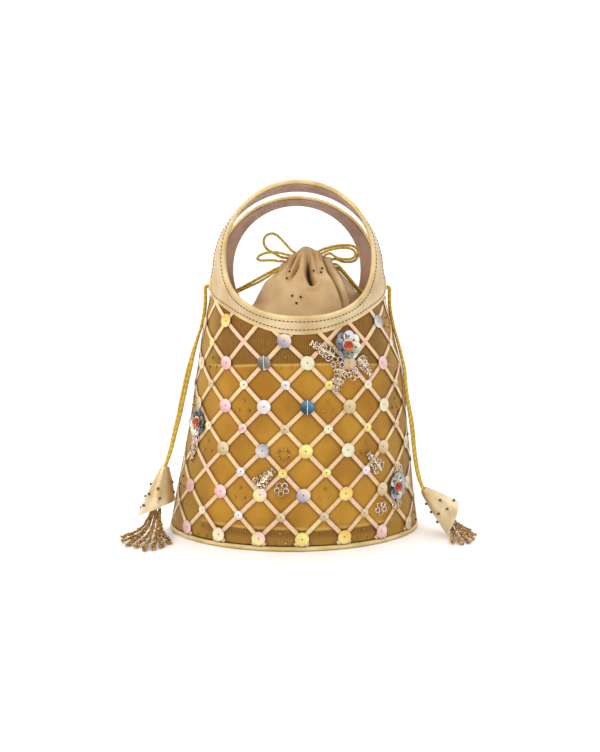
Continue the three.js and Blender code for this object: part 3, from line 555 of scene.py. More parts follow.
def painted(name, roughness, metal=0.0, coat=0.0, bump_scale=0.0, bump_strength=0.2, grime=0.2):
    """Takes its colour from the tint that each small solid carries, broken up a little."""
    look = Look(name, Metallic=metal, Coat_Weight=coat, Coat_Roughness=0.12)
    dirt = look.span(look.noise(600.0, 2.0), 0.3, 0.7, 0.0, grime)
    broken = look.mix(dirt, look.tint(), colour("#3A2410"))
    normal = None
    if bump_scale:
        normal = look.bump(look.noise(bump_scale, 2.0), bump_strength, 0.0002)
    rough = look.span(look.noise(400.0), 0.3, 0.7, roughness * 0.8, roughness * 1.25)
    return look.done(broken, rough, normal)


GAUZE = gauze("ribbed_gauze")
RIBBON = ribbon_look("peach_ribbon")
CHAMPAGNE = leather("champagne_leather", "#E6D0A4", "#CDB184", metal=0.12)
CONE = leather("cone_leather", "#EFDDB6", "#CBAF7C", metal=0.55, rough=(0.26, 0.36), coat=0.3)
PIPING = leather("gold_piping", "#F2DEA6", "#D9BA76", grain=1400.0, metal=0.2, rough=(0.3, 0.42))
ROSY = leather("rosy_leather", "#B9937A", "#9A745A", metal=0.0, rough=(0.5, 0.65))
POUCH = satin("taupe_satin", "#E2C79A", "#BF9B69", "#8C683A")
CORD = painted("gold_cord", 0.38, metal=0.15, bump_scale=2600.0, bump_strength=0.5)
SEQUIN = painted("sequin", 0.16, metal=0.1, coat=0.6, grime=0.06)
BEAD = painted("bead", 0.2, metal=0.45, coat=0.5)
WIRE = painted("wire", 0.24, metal=0.8)
THREAD = painted("thread", 0.7)
BOARD = leather("board_cloth", "#A07B34", "#7A5A24", grain=1600.0, metal=0.0, rough=(0.6, 0.75))
BRASS = leather("brass", "#E2BE6A", "#B98F3E", grain=500.0, metal=0.9, rough=(0.22, 0.35))


# Cords: twisted gold ropes on given routes; the twist is the length of one turn
CORD_RADIUS, OUTER_CORD_RADIUS = 1.15, 1.35
CORD_TWIST = 4.6
CORD_STEP = 0.7
STRANDS, STRAND_SIDES, STRAND_LIFT = 3, 7, 0.46
GOLD_DARK, GOLD_MIDDLE, GOLD_LIGHT = colour("#B58C1E"), colour("#E2BC3A"), colour("#F2DA66")
# The gathered neck of the pouch, and how far a cord's end is led into it
NECK = np.array((9.0, -1.0, 215.0))
TUCK = 5.0


def tucked(route, ends=(0, 1)):
    """The route with its ends led on into the folds of the pouch."""
    route = [np.asarray(p, float) for p in route]
    first = [route[0] + unit(NECK - route[0]) * TUCK] if 0 in ends else []
    last = [route[-1] + unit(NECK - route[-1]) * TUCK] if 1 in ends else []
    return first + route + last


def rope(name, route, stands_for, radius=CORD_RADIUS):
    """A rope of three twisted strands on a route."""
    line = spline(route, CORD_STEP)
    _, side, third = frames_along(line)
    at = np.linspace(0, length_of(line), len(line))
    lift = radius * STRAND_LIFT
    pile = Pile()
    for k in range(STRANDS):
        turn = 2 * math.pi * (at / CORD_TWIST + k / STRANDS)
        core = line + lift * (np.cos(turn)[:, None] * side + np.sin(turn)[:, None] * third)
        tint = mixed(GOLD_MIDDLE, GOLD_DARK, 0.5) if k else mixed(GOLD_MIDDLE, GOLD_LIGHT, 0.15)
        pile.put(*tube(core, radius - lift, STRAND_SIDES), tint)
    obj = pile.piece(name, CORD, "gold_cord", stands_for)
    return obj


LEFT_OUTER_A = [
    (-74, 1.5, 194.3), (-76, 1.5, 193.4), (-76.3, 1.5, 187), (-76.2, 1.4, 177), (-77.8, 0.4, 163),
    (-80.6, -2.8, 152), (-83.8, -6, 140), (-86.9, -8.2, 128), (-89.4, -10.2, 116), (-91.6, -12.4, 104),
    (-93.6, -14.6, 92), (-96, -16.6, 80.5), (-99.2, -18, 65.5), (-102.6, -19.4, 53.4),
]
LEFT_OUTER_B = [
    (-74, -1.4, 194.3), (-76, -1.4, 193.4), (-76.3, -1.5, 187), (-76.2, -2, 177), (-77.4, -3.4, 163),
    (-79.8, -5.9, 152), (-82.2, -8.9, 140), (-84.5, -11, 128), (-86.9, -13, 116), (-89.2, -15.2, 104),
    (-91.4, -17.4, 92), (-94.2, -19.4, 80.5), (-97.8, -21, 65.5), (-102, -22.4, 53.4),
]
RIGHT_OUTER_A = [
    (74, 1.5, 194.3), (76, 1.5, 193.4), (76.3, 1.5, 187), (76.3, 1.3, 177), (77.8, 0.4, 163),
    (80.6, -1, 152.5), (83.8, -2.6, 139.5), (85.9, -4.6, 128), (86.8, -6.8, 114), (87.9, -8.6, 103.5),
    (89.6, -10.6, 93), (91.2, -12.6, 81), (92, -15, 66.5), (93.1, -17.2, 54), (95, -19, 43),
    (98, -20, 34.6),
]
RIGHT_OUTER_B = [
    (74, -1.4, 194.3), (76, -1.4, 193.4), (76.3, -1.5, 187), (76.2, -1.7, 177), (77.7, -2.8, 163),
    (79.8, -4.2, 152.5), (82.6, -5.8, 139.5), (84.4, -7.8, 128), (85.3, -10, 114), (86.4, -11.8, 103.5),
    (87.8, -13.9, 93), (89.1, -15.9, 81), (90.2, -18, 66.5), (91.4, -20.2, 54), (93.6, -22, 43),
    (97, -22.9, 34.2),
]


def beside_wall(route):
    """A cord's route pulled in as far as the wall beside it, where the bag narrows below its handles."""
    route = np.array(route, float)
    dip = WAIST_DIP * np.exp(-(((route[:, 2] - WAIST_HEIGHT) / WAIST_SPREAD) ** 2))
    route[:, 0] -= np.sign(route[:, 0]) * dip
    return [tuple(point) for point in route]


LEFT_OUTER_A, LEFT_OUTER_B = beside_wall(LEFT_OUTER_A), beside_wall(LEFT_OUTER_B)
RIGHT_OUTER_A, RIGHT_OUTER_B = beside_wall(RIGHT_OUTER_A), beside_wall(RIGHT_OUTER_B)
LEFT_INNER_A = [
    (-17.4, -3.6, 207.6), (-22.4, -4, 204.8), (-30.3, -4, 200.4), (-38.2, -3.6, 196), (-46.2, -3, 191.8),
    (-54, -2.2, 188.6), (-61, -1.6, 188), (-68.8, -1.4, 191.6),
]
LEFT_INNER_B = [
    (-18.8, -6.2, 204.4), (-23.9, -6.6, 200.9), (-31.8, -6.6, 196.2), (-39.7, -6.2, 192.6),
    (-47.6, -5.6, 189), (-55, -4.8, 186.2), (-61.5, -4.2, 185.6), (-68.8, -3.8, 189),
]
RIGHT_INNER_A = [
    (31.4, -2.4, 211.2), (36, -2.6, 206.6), (41.6, -2.6, 200.2), (47.3, -2.4, 193.6), (53, -2, 189),
    (60, -1.6, 188), (68.8, -1.4, 191.6),
]
RIGHT_INNER_B = [
    (32.6, 0.6, 208.8), (37.4, 0.4, 204), (42.8, 0.4, 197.8), (48.4, 0.6, 191.4), (54, 0.9, 187),
    (60.6, 1.1, 186), (68.8, 1.4, 189),
]
LEFT_HIGH_LOOP = [
    (-5, -1.6, 222.2), (-8, -1, 225.6), (-12.4, -0.5, 230.4), (-18, 0, 235.4), (-21.7, 0, 236),
    (-25.6, -0.3, 234.2), (-27.4, -0.6, 230.4), (-26.8, -1, 226.4), (-24.4, -1, 223.2),
    (-19.6, -0.8, 220.6), (-13.4, -0.6, 217.2),
]
LEFT_FLAT_LOOP = [
    (-10.6, -4.8, 218.8), (-17.4, -5, 220.2), (-23.9, -5, 219.9), (-28.6, -5.4, 218.4),
    (-31.6, -6, 216.3), (-32.2, -6.6, 214.6), (-29.8, -7, 213.4), (-23.9, -7, 213.5),
    (-19.4, -6.4, 213.6), (-15.6, -5.6, 213),
]
RIGHT_HIGH_LOOP = [
    (18.6, 1.5, 223.6), (25, 1, 225.7), (31.4, 0.6, 227), (37.6, 0.4, 227.4), (42.9, 0.2, 227.1),
    (46.5, 0, 225.4), (48.4, 0, 222.2), (47.9, 0, 217.8), (45.6, 0, 215), (40.3, 0, 213.9),
    (34.9, 0, 214.4), (31.4, 0, 216),
]
RIGHT_FLAT_LOOP = [
    (22, -3.4, 221.6), (26.6, -3, 223.2), (31.5, -3, 224.2), (37.3, -3, 224.6), (41.5, -3, 224.1),
    (44.6, -3, 222.4), (45.9, -3, 220), (45.4, -3, 217.6), (42.3, -3, 215.9), (36.4, -3, 215.6),
    (31.6, -3, 216.4), (28.4, -3.2, 218.2), (25.6, -3.6, 220),
]

# Rolled leather cones on the cord ends
CONE_TIP_RADIUS, CONE_MOUTH_RADIUS = 2.6, 12.0
LEFT_MOUTH = np.array((-108.4, -25.0, 22.5))
RIGHT_MOUTH = np.array((118.4, -26.0, 13.8))
LEFT_SLANT, RIGHT_SLANT = -7.5, -5.0
BRONZE, BRONZE_DARK, COPPER = colour("#A87830"), colour("#6E4A18"), colour("#DDAE5C")
STUD, STUD_RADIUS = colour("#6A5630"), 1.15


def cone_frame(tip, mouth):
    along = unit(mouth - tip)
    side = unit(np.cross(along, (0.0, 1.0, 0.0)))
    return along, side, np.cross(along, side), float(np.linalg.norm(mouth - tip))


def cone_radius(part):
    return CONE_TIP_RADIUS + (CONE_MOUTH_RADIUS - CONE_TIP_RADIUS) * np.asarray(part) ** 0.85


def cone_point(tip, mouth, slant, part, turn, out=0.0):
    """Point of the cone: part runs from tip to mouth, turn goes past a full turn at the overlap."""
    along, side, third, length = cone_frame(tip, mouth)
    part, turn = np.broadcast_arrays(np.asarray(part, float), np.asarray(turn, float))
    lean = np.clip(part, 0, 1) ** 1.6
    radius = cone_radius(np.clip(part, 0, 1)) + out
    down = length * part + lean * slant * np.cos(turn)
    return (
        tip
        + along * down[..., None]
        + side * (radius * np.cos(turn))[..., None]
        + third * (radius * np.sin(turn))[..., None]
    )


def rolled_cone(name, tip, mouth, slant, seam, stands_for):
    """A sheet of leather rolled into a cone; the free edge lies over the start along a seam line."""
    parts = np.linspace(0, 1, 25)
    turns = np.linspace(seam, seam + 2 * math.pi + 0.75, 57)
    lap = smoothstep((turns - turns[0] - 2 * math.pi) / 0.5) * 1.1
    grid_part, grid_turn = np.meshgrid(parts, turns, indexing="ij")
    lift = np.broadcast_to(lap, grid_part.shape) * np.clip(grid_part * 3, 0.25, 1)
    outer = cone_point(tip, mouth, slant, grid_part, grid_turn, 0.2 + lift)
    inner = cone_point(tip, mouth, slant, grid_part, grid_turn, -0.7 + lift)
    points, faces = shell(outer, inner)
    return single((points, flipped(faces)), name, CONE, "gold_leather", stands_for)


def studs(name, tip, mouth, slant, places):
    pile = Pile()
    _, side, third, _ = cone_frame(tip, mouth)
    for part, turn in places:
        centre = cone_point(tip, mouth, slant, part, turn, 0.9)
        facing = side * math.cos(turn) + third * math.sin(turn)
        pile.put(*ball(centre, STUD_RADIUS, 6, 10, facing, 0.85), STUD)
    return pile.piece(name, BEAD)


def bead_strands(name, tip, mouth, ends, stands_for, seed):
    """Gold threads out of the cone's mouth, each ending in a heap of small bronze beads."""
    draw = random.Random(seed)
    pile, threads = Pile(), Pile()
    start = tip + (mouth - tip) * 0.55
    for via, end in ends:
        line = spline([start, via, end], 1.15)
        threads.put(*tube(line, 0.32, 5), colour("#C79A3C"))
        first = int(len(line) * 0.34)
        for i in range(first, len(line)):
            share = (i - first) / max(1, len(line) - first)
            around = 1 + int(2.9 * share)
            for _ in range(around):
                spot = line[i] + np.array([draw.uniform(-1.5, 1.5), draw.uniform(-1.5, 1.5), 0]) * share
                size = draw.uniform(0.85, 1.15)
                spot[2] = max(spot[2] + draw.uniform(-0.4, 1.4) * share, size)
                tint = mixed(BRONZE_DARK if draw.random() < 0.45 else BRONZE, COPPER, draw.random() * 0.6)
                pile.put(*ball(spot, size, 4, 6, (draw.random(), draw.random(), 1)), tint)
    beads = pile.piece(name, BEAD, "bronze_bead", stands_for)
    return beads, threads.piece(name + "_threads", WIRE)


# Each cone hangs between the ends of its two cords; studs lie at (share of its length, turn round it)
LEFT_TIP = np.array(LEFT_OUTER_A[-1]) * 0.5 + np.array(LEFT_OUTER_B[-1]) * 0.5
RIGHT_TIP = np.array(RIGHT_OUTER_A[-1]) * 0.5 + np.array(RIGHT_OUTER_B[-1]) * 0.5
left_cone = rolled_cone("left_tassel_cone", LEFT_TIP, LEFT_MOUTH, LEFT_SLANT, 5.2, ["left_cone"])
right_cone = rolled_cone("right_tassel_cone", RIGHT_TIP, RIGHT_MOUTH, RIGHT_SLANT, 4.2, ["right_cone"])
LEFT_STUDS = [(0.45, 4.4), (0.7, 4.5), (0.42, 3.2), (0.66, 3.2), (0.4, 6.1), (0.7, 6.2), (0.88, 3.3),
              (0.5, 1.6), (0.75, 1.3), (0.6, 2.3), (0.82, 2.4)]
RIGHT_STUDS = [(0.36, 5.2), (0.6, 5.3), (0.48, 4.3), (0.72, 4.3), (0.3, 3.3), (0.5, 3.2), (0.74, 3.2),
               (0.45, 1.2), (0.7, 1.4), (0.6, 2.2), (0.82, 0.4)]
left_studs = studs("left_tassel_studs", LEFT_TIP, LEFT_MOUTH, LEFT_SLANT, LEFT_STUDS)
right_studs = studs("right_tassel_studs", RIGHT_TIP, RIGHT_MOUTH, RIGHT_SLANT, RIGHT_STUDS)
# Bead strands: where each leaves the cone's mouth and where it ends on the ground
LEFT_STRANDS = [
    ((-118, -29, 9), (-133, -30, 1.2)), ((-116, -32, 8), (-130, -38, 1.2)),
    ((-114, -33, 8), (-124, -44, 1.2)), ((-111, -34, 7), (-118, -49, 1.2)),
    ((-109, -35, 7), (-110, -54, 1.2)), ((-106, -35, 7), (-104, -52, 1.2)),
    ((-104, -34, 8), (-99, -48, 1.2)), ((-103, -32, 9), (-95, -42, 1.2)),
]
RIGHT_STRANDS = [
    ((124, -27, 8), (134, -25, 1.2)), ((123, -29, 7.5), (134, -33, 1.2)), ((122, -31, 7), (130, -40, 1.2)),
    ((120.5, -33, 6.5), (125, -46, 1.2)), ((118, -33, 6), (118, -49, 1.2)), ((116, -32, 6), (112, -47, 1.2)),
]
left_beads, left_threads = bead_strands(
    "left_tassel_beads", LEFT_TIP, LEFT_MOUTH, LEFT_STRANDS, ["left_bead_strands"], 3)
right_beads, right_threads = bead_strands(
    "right_tassel_beads", RIGHT_TIP, RIGHT_MOUTH, RIGHT_STRANDS, ["right_bead_strands"], 5)

# The first cord of each pair runs on inside its cone, by this share of the cone's length
INTO_CONE = 0.35


def outer_cords(side, route_a, route_b, tip, mouth):
    """The two cords that hang outside on one side; the tassel hangs on the first."""
    inside = [tuple(tip + (mouth - tip) * INTO_CONE)]
    rope(f"{side}_cord_a", route_a + inside, [f"{side}_cord_outer_a"],
         radius=OUTER_CORD_RADIUS)
    rope(f"{side}_cord_b", route_b, [f"{side}_cord_outer_b"], radius=OUTER_CORD_RADIUS)


def neck_cords(side, routes):
    for letter, route in zip("ab", routes):
        rope(f"{side}_neck_cord_{letter}", tucked(route, [0]), [f"{side}_cord_inner_{letter}"])


def bow(side, high, flat):
    rope(f"{side}_bow_high_loop", tucked(high), [f"{side}_bow_high"])
    rope(f"{side}_bow_flat_loop", tucked(flat), [f"{side}_bow_flat"])


outer_cords("left", LEFT_OUTER_A, LEFT_OUTER_B, LEFT_TIP, LEFT_MOUTH)
outer_cords("right", RIGHT_OUTER_A, RIGHT_OUTER_B, RIGHT_TIP, RIGHT_MOUTH)
neck_cords("left", (LEFT_INNER_A, LEFT_INNER_B))
neck_cords("right", (RIGHT_INNER_A, RIGHT_INNER_B))
bow("left", LEFT_HIGH_LOOP, LEFT_FLAT_LOOP)
bow("right", RIGHT_HIGH_LOOP, RIGHT_FLAT_LOOP)


# Base piping, wall panels
BASE_PIPING_RADIUS, BASE_PIPING_HEIGHT = 1.5, 1.9
OUTER_PIPING_RADIUS, INNER_PIPING_RADIUS = 1.2, 1.5
PIPING_SIDES = 12
# Lower edge of the rim band: its lowest height, and how far it has risen at the arch's half width
RIM_LOW, RIM_RISE, ARCH_HALF_WIDTH = 153.7, 30.0, 66.0


def base_piping():
    w = np.linspace(0, 2 * math.pi, 240, endpoint=False)
    line = wall(w, 0.0, -0.2)
    line[:, 2] = BASE_PIPING_HEIGHT
    welt = tube(line, BASE_PIPING_RADIUS, PIPING_SIDES, True, across=line * (1, 1, 0))
    return single(welt, "base_welt", PIPING, "gold_piping", ["base_piping"])


base_piping()
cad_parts["base_board"].data.materials.clear()
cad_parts["base_board"].data.materials.append(BOARD)


def rim_line(x):
    """Height of the rim band's lower edge over the front of the wall."""
    return RIM_LOW + RIM_RISE * (x / ARCH_HALF_WIDTH) ** 2


def panel_top(w):
    """Height at which the wall ends under the rim band, found in a few rounds because the wall leans."""
    z = np.full_like(w, 165.0)
    for _ in range(6):
        z = np.minimum(rim_line(wall(w, z)[..., 0]) - OUTER_PIPING_RADIUS, PANEL_TOP)
    return z


# Soft creases of the gauze near the sides: bearing, half width in radians, depth, lowest and highest point
CREASES = [(0.92, 0.05, 0.7, 20, 120), (1.08, 0.06, 0.8, 40, 150), (1.22, 0.05, 0.6, 10, 100),
           (-1.05, 0.05, 0.6, 60, 160), (-1.2, 0.05, 0.5, 20, 110)]


WALL_THICKNESS, SEAM_GAP = 1.2, 0.002


def wall_panel(name, place, node):
    """One of the two wall panels from seam to seam, with its cloth map in decimetres."""
    columns, rows = 181, 61
    w = np.linspace(-math.pi / 2 + SEAM_GAP, math.pi / 2 - SEAM_GAP, columns)
    top = panel_top(w)
    part = np.linspace(0, 1, rows)
    z = WALL_FOOT + (top[:, None] - WALL_FOOT) * part[None, :]
    dent = np.zeros_like(z)
    for at, spread, depth, low, high in CREASES:
        fade = smoothstep((z - low) / 25) * smoothstep((high - z) / 25)
        dent += depth * np.exp(-(((w[:, None] - at - 0.0006 * (z - 80)) / spread) ** 2)) * fade
    outer = wall(w[:, None], z, -dent)
    inner = wall(w[:, None], z, -WALL_THICKNESS - dent)
    points, faces = shell(outer, inner)
    along = [
        [np.interp(abs(a), TABLE_ANGLES, GIRTHS[int(height // TABLE_STEP)]) for height in row]
        for a, row in zip(w, z)
    ]
    s = np.sign(w)[:, None] * np.array(along)
    spots = np.stack([s / 100, z / 100], -1).reshape(-1, 2)
    both = np.concatenate([spots, spots])
    return single((points, flipped(faces)), name, GAUZE, "amber_satin", [node], place, both)


wall_panel("front_wall", same, "front_panel")
wall_panel("back_wall", mirrored, "back_panel")


# Leather rings: rim band and handle in one, with lining and pipings
OPENING_HALF_WIDTH, OPENING_CENTRE, OPENING_DROP, OPENING_RISE = 56.0, 213.0, 48.5, 55.0
OPENING_SQUARENESS = 2.3
HANDLE_FRONT, HANDLE_REAR = 27.7, 9.5
ARCH_SPRING, ARCH_RISE = 205.0, 63.0
HUG_TOP, HUG_FADE = 205.0, 15.0
LEATHER_OUT, LEATHER_IN, LINING_OUT, LINING_IN = 1.3, -0.5, -0.8, -1.9
RING_COLUMNS = 13
BAND_ROUTE = [
    (0, 0, RIM_LOW), (15, 0, 155.2), (30, 0, 159.9), (45, 0, 167.6), (58, 0, 176.9), (65, 0, 183),
    (68.6, 0, 189), (68.4, 0, 197), (ARCH_HALF_WIDTH, 0, ARCH_SPRING),
]
BAND_LINE = spline(BAND_ROUTE, 0.5)


def bearing_of(x, z):
    """Bearing of the front wall's point with this x and height."""
    return np.arcsin(np.clip((x - sway(z)) / half_width(z), -1, 1))


def opening_edge(angle):
    """Edge of the hand opening, from its lowest point at angle 0 to its highest at half a turn."""
    below = angle < math.pi / 2
    power = np.where(below, 2 / OPENING_SQUARENESS, 1.0)
    c = np.cos(angle)
    x = OPENING_HALF_WIDTH * np.sin(angle) ** power
    rise = np.where(below, OPENING_DROP, OPENING_RISE)
    z = OPENING_CENTRE - rise * np.sign(c) * np.abs(c) ** power
    y = np.minimum(wall(bearing_of(x, z), z)[..., 1], -HANDLE_FRONT)
    y = np.where(z > OPENING_CENTRE - 12, -HANDLE_FRONT, y)
    return np.stack([x, y, z], -1)


def outer_edge(part):
    """Outer edge of the ring: the rim band's lower edge up to part 1, then the handle's arch up to part 2."""
    at = np.interp(np.minimum(part, 1), [0, 1], [0, len(BAND_LINE) - 1])
    x, z = (np.interp(at, np.arange(len(BAND_LINE)), BAND_LINE[:, k]) for k in (0, 2))
    depth = -wall(bearing_of(x, z), z)[..., 1]
    band = np.stack([x, -np.maximum(depth, HANDLE_REAR), z], -1)
    turn = (np.maximum(part, 1) - 1) * math.pi / 2
    arch_z = ARCH_SPRING + ARCH_RISE * np.sin(turn)
    arch = np.stack([ARCH_HALF_WIDTH * np.cos(turn), np.full_like(turn, -HANDLE_REAR), arch_z], -1)
    return np.where((part <= 1)[:, None], band, arch)


def ring_stations():
    """Matching points round both edges of the ring, right half first and then its mirror image."""
    part = np.concatenate([np.linspace(0, 1, 57), np.linspace(1, 2, 57)[1:]])
    inner, outer = opening_edge(part * math.pi / 2), outer_edge(part)
    flip = np.array([-1.0, 1.0, 1.0])
    inner = np.concatenate([inner, (inner[1:-1] * flip)[::-1]])
    outer = np.concatenate([outer, (outer[1:-1] * flip)[::-1]])
    return smooth_ring(inner), smooth_ring(outer)


def smooth_ring(line, rounds=6):
    for _ in range(rounds):
        line = line * 0.5 + (np.roll(line, 1, 0) + np.roll(line, -1, 0)) * 0.25
    return line


RING_INNER_EDGE, RING_OUTER_EDGE = ring_stations()
RING_WIDTH = np.linalg.norm(RING_OUTER_EDGE - RING_INNER_EDGE, axis=1)
# Shares of the ring's width at which the leather meets its two pipings
NEAR_SHARE = 0.4 * INNER_PIPING_RADIUS / RING_WIDTH.mean()
FAR_SHARE = 1 - 0.4 * OUTER_PIPING_RADIUS / RING_WIDTH.mean()


def ring_surface(share):
    """Points across the ring at the given shares between its edges; the rim band hugs the wall."""
    across = share[None, :, None]
    straight = RING_INNER_EDGE[:, None] * (1 - across) + RING_OUTER_EDGE[:, None] * across
    hug = np.clip((HUG_TOP - straight[..., 2]) / HUG_FADE, 0, 1) * np.sin(math.pi * share) ** 0.5
    on_wall = wall(bearing_of(straight[..., 0], straight[..., 2]), straight[..., 2])
    return straight * (1 - hug[..., None]) + on_wall * hug[..., None]


def ring_net(columns, offset, near=NEAR_SHARE, far=FAR_SHARE):
    """Net of the ring pushed out along its normals by offset, and those normals."""
    grid = ring_surface(np.linspace(near, far, columns))
    along = np.roll(grid, -1, 0) - np.roll(grid, 1, 0)
    over = np.gradient(grid, axis=1)
    normal = unit(np.cross(over, along))
    return grid + normal * offset, normal


def ring_layer(outside, inside):
    """One layer of the ring between two offsets from its surface."""
    return shell(ring_net(RING_COLUMNS, outside)[0], ring_net(RING_COLUMNS, inside)[0], True)


def welt(line, radius):
    """Piping laid round a closed edge of the ring."""
    middle = np.array([0.0, -20.0, OPENING_CENTRE])
    return tube(line, radius, PIPING_SIDES, True, across=line - middle)


def ring_pieces(side, place):
    leather_layer = ring_layer(LEATHER_OUT, LEATHER_IN)
    lining = ring_layer(LINING_OUT, LINING_IN)
    opening = welt(RING_INNER_EDGE, INNER_PIPING_RADIUS)
    edge = welt(RING_OUTER_EDGE, OUTER_PIPING_RADIUS)
    single(leather_layer, f"{side}_rim_and_handle", CHAMPAGNE, "gold_leather", [f"{side}_ring"], place)
    single(lining, f"{side}_handle_lining", ROSY, "rosy_lining", [f"{side}_ring_lining"], place)
    single(opening, f"{side}_opening_welt", PIPING, "gold_piping", [f"{side}_opening_piping"], place)
    single(edge, f"{side}_edge_welt", PIPING, "gold_piping", [f"{side}_edge_piping"], place)
    stitches = Pile()
    put_stitch_row(stitches, INNER_STITCH_INSET / RING_WIDTH)
    put_stitch_row(stitches, 1 - OUTER_STITCH_INSET / RING_WIDTH)
    stitches.piece(f"{side}_stitches", THREAD, place=place)


STITCH_PITCH, STITCH_LENGTH, STITCH_RADIUS, STITCH_RISE = 2.9, 1.7, 0.34, 0.1
INNER_STITCH_INSET, OUTER_STITCH_INSET = 2.9, 2.1
STITCH_COLOUR = colour("#4E3216")
# A stitch dips into the leather at both ends: (share of its length from its middle, height)
STITCH_SHAPE = ((-0.5, -STITCH_RISE), (-0.25, STITCH_RISE), (0.25, STITCH_RISE), (0.5, -STITCH_RISE))
STITCH_NET = 41


def put_stitch_row(pile, share):
    """A row of stitches round the ring at a share of its width, given for each station."""
    grid, normal = ring_net(STITCH_NET, LEATHER_OUT, 0.0, 1.0)
    column = np.clip(share, 0, 1) * (STITCH_NET - 1)
    low = np.minimum(column.astype(int), STITCH_NET - 2)
    t = (column - low)[:, None]
    rows = np.arange(len(grid))
    line = grid[rows, low] * (1 - t) + grid[rows, low + 1] * t
    face = unit(normal[rows, low] * (1 - t) + normal[rows, low + 1] * t)
    loop = np.concatenate([line, line[:1]])
    travelled = np.concatenate([[0], np.cumsum(np.linalg.norm(np.diff(loop, axis=0), axis=1))])
    count = int(travelled[-1] / STITCH_PITCH)
    centres = np.linspace(0, travelled[-1], count, endpoint=False)
    facing = np.concatenate([face, face[:1]])

    def at(distance):
        distance = distance % travelled[-1]
        point = np.array([np.interp(distance, travelled, loop[:, k]) for k in range(3)])
        out = unit(np.array([np.interp(distance, travelled, facing[:, k]) for k in range(3)]))
        return point, out

    for centre in centres:
        stitch = []
        for share_along, height in STITCH_SHAPE:
            point, out = at(centre + share_along * STITCH_LENGTH)
            stitch.append(point + out * height)
        pile.put(*tube(stitch, STITCH_RADIUS, 6), STITCH_COLOUR)


ring_pieces("front", same)
ring_pieces("back", mirrored)


# Side tabs, seam tapes and eyelets
TAB_HALF, TAB_FOOT, TAB_TOP, TAB_OUT, TAB_IN = 7.5, 184.5, 204.0, 1.4, -0.4
TAPE_HALF, TAPE_FOOT, TAPE_TOP, TAPE_OUT, TAPE_IN = 2.2, 3.4, 184.0, 1.0, 0.3
EYELET_HEIGHT, EYELET_OUT, EYELET_RADIUS, EYELET_WIRE = 194.0, 2.2, 2.9, 0.75


def side_strip(sign, half, foot, top, out, inner, columns=13, rows=31):
    """A strip laid over a side seam, as a solid with its cloth map."""
    y = np.linspace(-half, half, columns)
    z = np.linspace(foot, top, rows)
    yy, zz = np.meshgrid(y, z, indexing="ij")
    lean = np.arccos((np.abs(yy) / half_depth(zz)) ** (1 / POINTEDNESS))
    x = wall(sign * lean, zz)[..., 0]
    outer_skin, inner_skin = (np.stack([x + sign * o, yy, zz], -1) for o in (out, inner))
    points, faces = shell(outer_skin, inner_skin)
    spots = np.stack([zz / 10, yy / half], -1).reshape(-1, 2)
    return (points, faces if sign < 0 else flipped(faces)), np.concatenate([spots, spots])


def eyelet(sign):
    centre = np.array([sign * (half_width(EYELET_HEIGHT) + EYELET_OUT), 0.0, EYELET_HEIGHT])
    facing = unit((sign * 1.0, 0.0, WIDTH_LEAN))
    up = unit(np.cross(facing, (0.0, 1.0, 0.0)))
    turns = np.linspace(0, 2 * math.pi, 40, endpoint=False)
    round_it = np.cos(turns)[:, None] * np.array([0, 1, 0]) + np.sin(turns)[:, None] * up
    ring = centre + EYELET_RADIUS * round_it
    return tube(ring, EYELET_WIRE, 10, True, across=ring - centre)


for side, sign in (("left", -1), ("right", 1)):
    tab, _ = side_strip(sign, TAB_HALF, TAB_FOOT, TAB_TOP, TAB_OUT, TAB_IN)
    single(tab, f"{side}_tab", CHAMPAGNE, "gold_leather", [f"{side}_side_patch"])
    tape, spots = side_strip(sign, TAPE_HALF, TAPE_FOOT, TAPE_TOP, TAPE_OUT, TAPE_IN, 7, 61)
    single(tape, f"{side}_seam_tape", RIBBON, "peach_ribbon", [f"{side}_seam_ribbon"], spots=spots)
    single(eyelet(sign), f"{side}_eyelet_ring", BRASS, "brass", [f"{side}_eyelet"])


# Ribbon lattice: the ribbons that lean right lie under those that lean left
UNDER_RIBBON, OVER_RIBBON, RIBBON_THICKNESS = 0.15, 0.55, 0.32
# How far ribbons run under the rim band, above the panels, and how far short of base and seam they end
UNDER_BAND, PAST_PANEL, RIBBON_FOOT, SEAM_COVER = 1.6, 1.0, 3.0, 1.4
FURTHEST_COLUMN, SHORTEST_RUN = 22, 5


def on_lattice(s, z):
    """Whether the point s along the wall at height z is covered by the lattice."""
    x = on_front(s, z)[..., 0]
    roof = np.minimum(rim_line(x) + UNDER_BAND, PANEL_TOP + PAST_PANEL)
    return (z > RIBBON_FOOT) & (z < roof) & (quarter_girth(z) - SEAM_COVER - np.abs(s) > 0)


def ribbon(pile, column, slant, out):
    """One ribbon through crossings (0, column): up to the right for slant 1, to the left for -1."""
    t = np.arange(-1.0, 13.2, 0.1)
    z = FIRST_ROW + STEP_UP * t
    s = PHASE + STEP_ACROSS * (column + slant * t)
    length = math.hypot(STEP_ACROSS, STEP_UP)
    side = np.array([-STEP_UP, slant * STEP_ACROSS]) / length
    across = np.array([-1.0, -0.86, -0.4, 0.0, 0.4, 0.86, 1.0]) * RIBBON_HALF_WIDTH
    lift = np.array([0.0, 0.8, 1.0, 1.05, 1.0, 0.8, 0.0]) * RIBBON_THICKNESS
    ss = s[:, None] + across[None, :] * side[0]
    zz = z[:, None] + across[None, :] * side[1]
    run = np.flatnonzero(on_lattice(s, z))
    if len(run) == 0 or run[-1] - run[0] < SHORTEST_RUN:
        return
    run = np.arange(run[0], run[-1] + 1)
    outer = on_front(ss[run], zz[run], out + lift[None, :])
    inner = on_front(ss[run], zz[run], np.full_like(lift, out)[None, :])
    points, faces = shell(outer, inner)
    down, over = np.broadcast_arrays(t[run, None] * 0.2, across / RIBBON_HALF_WIDTH)
    spots = np.stack([down, over], -1).reshape(-1, 2)
    pile.put(points, faces, spots=np.concatenate([spots, spots]))


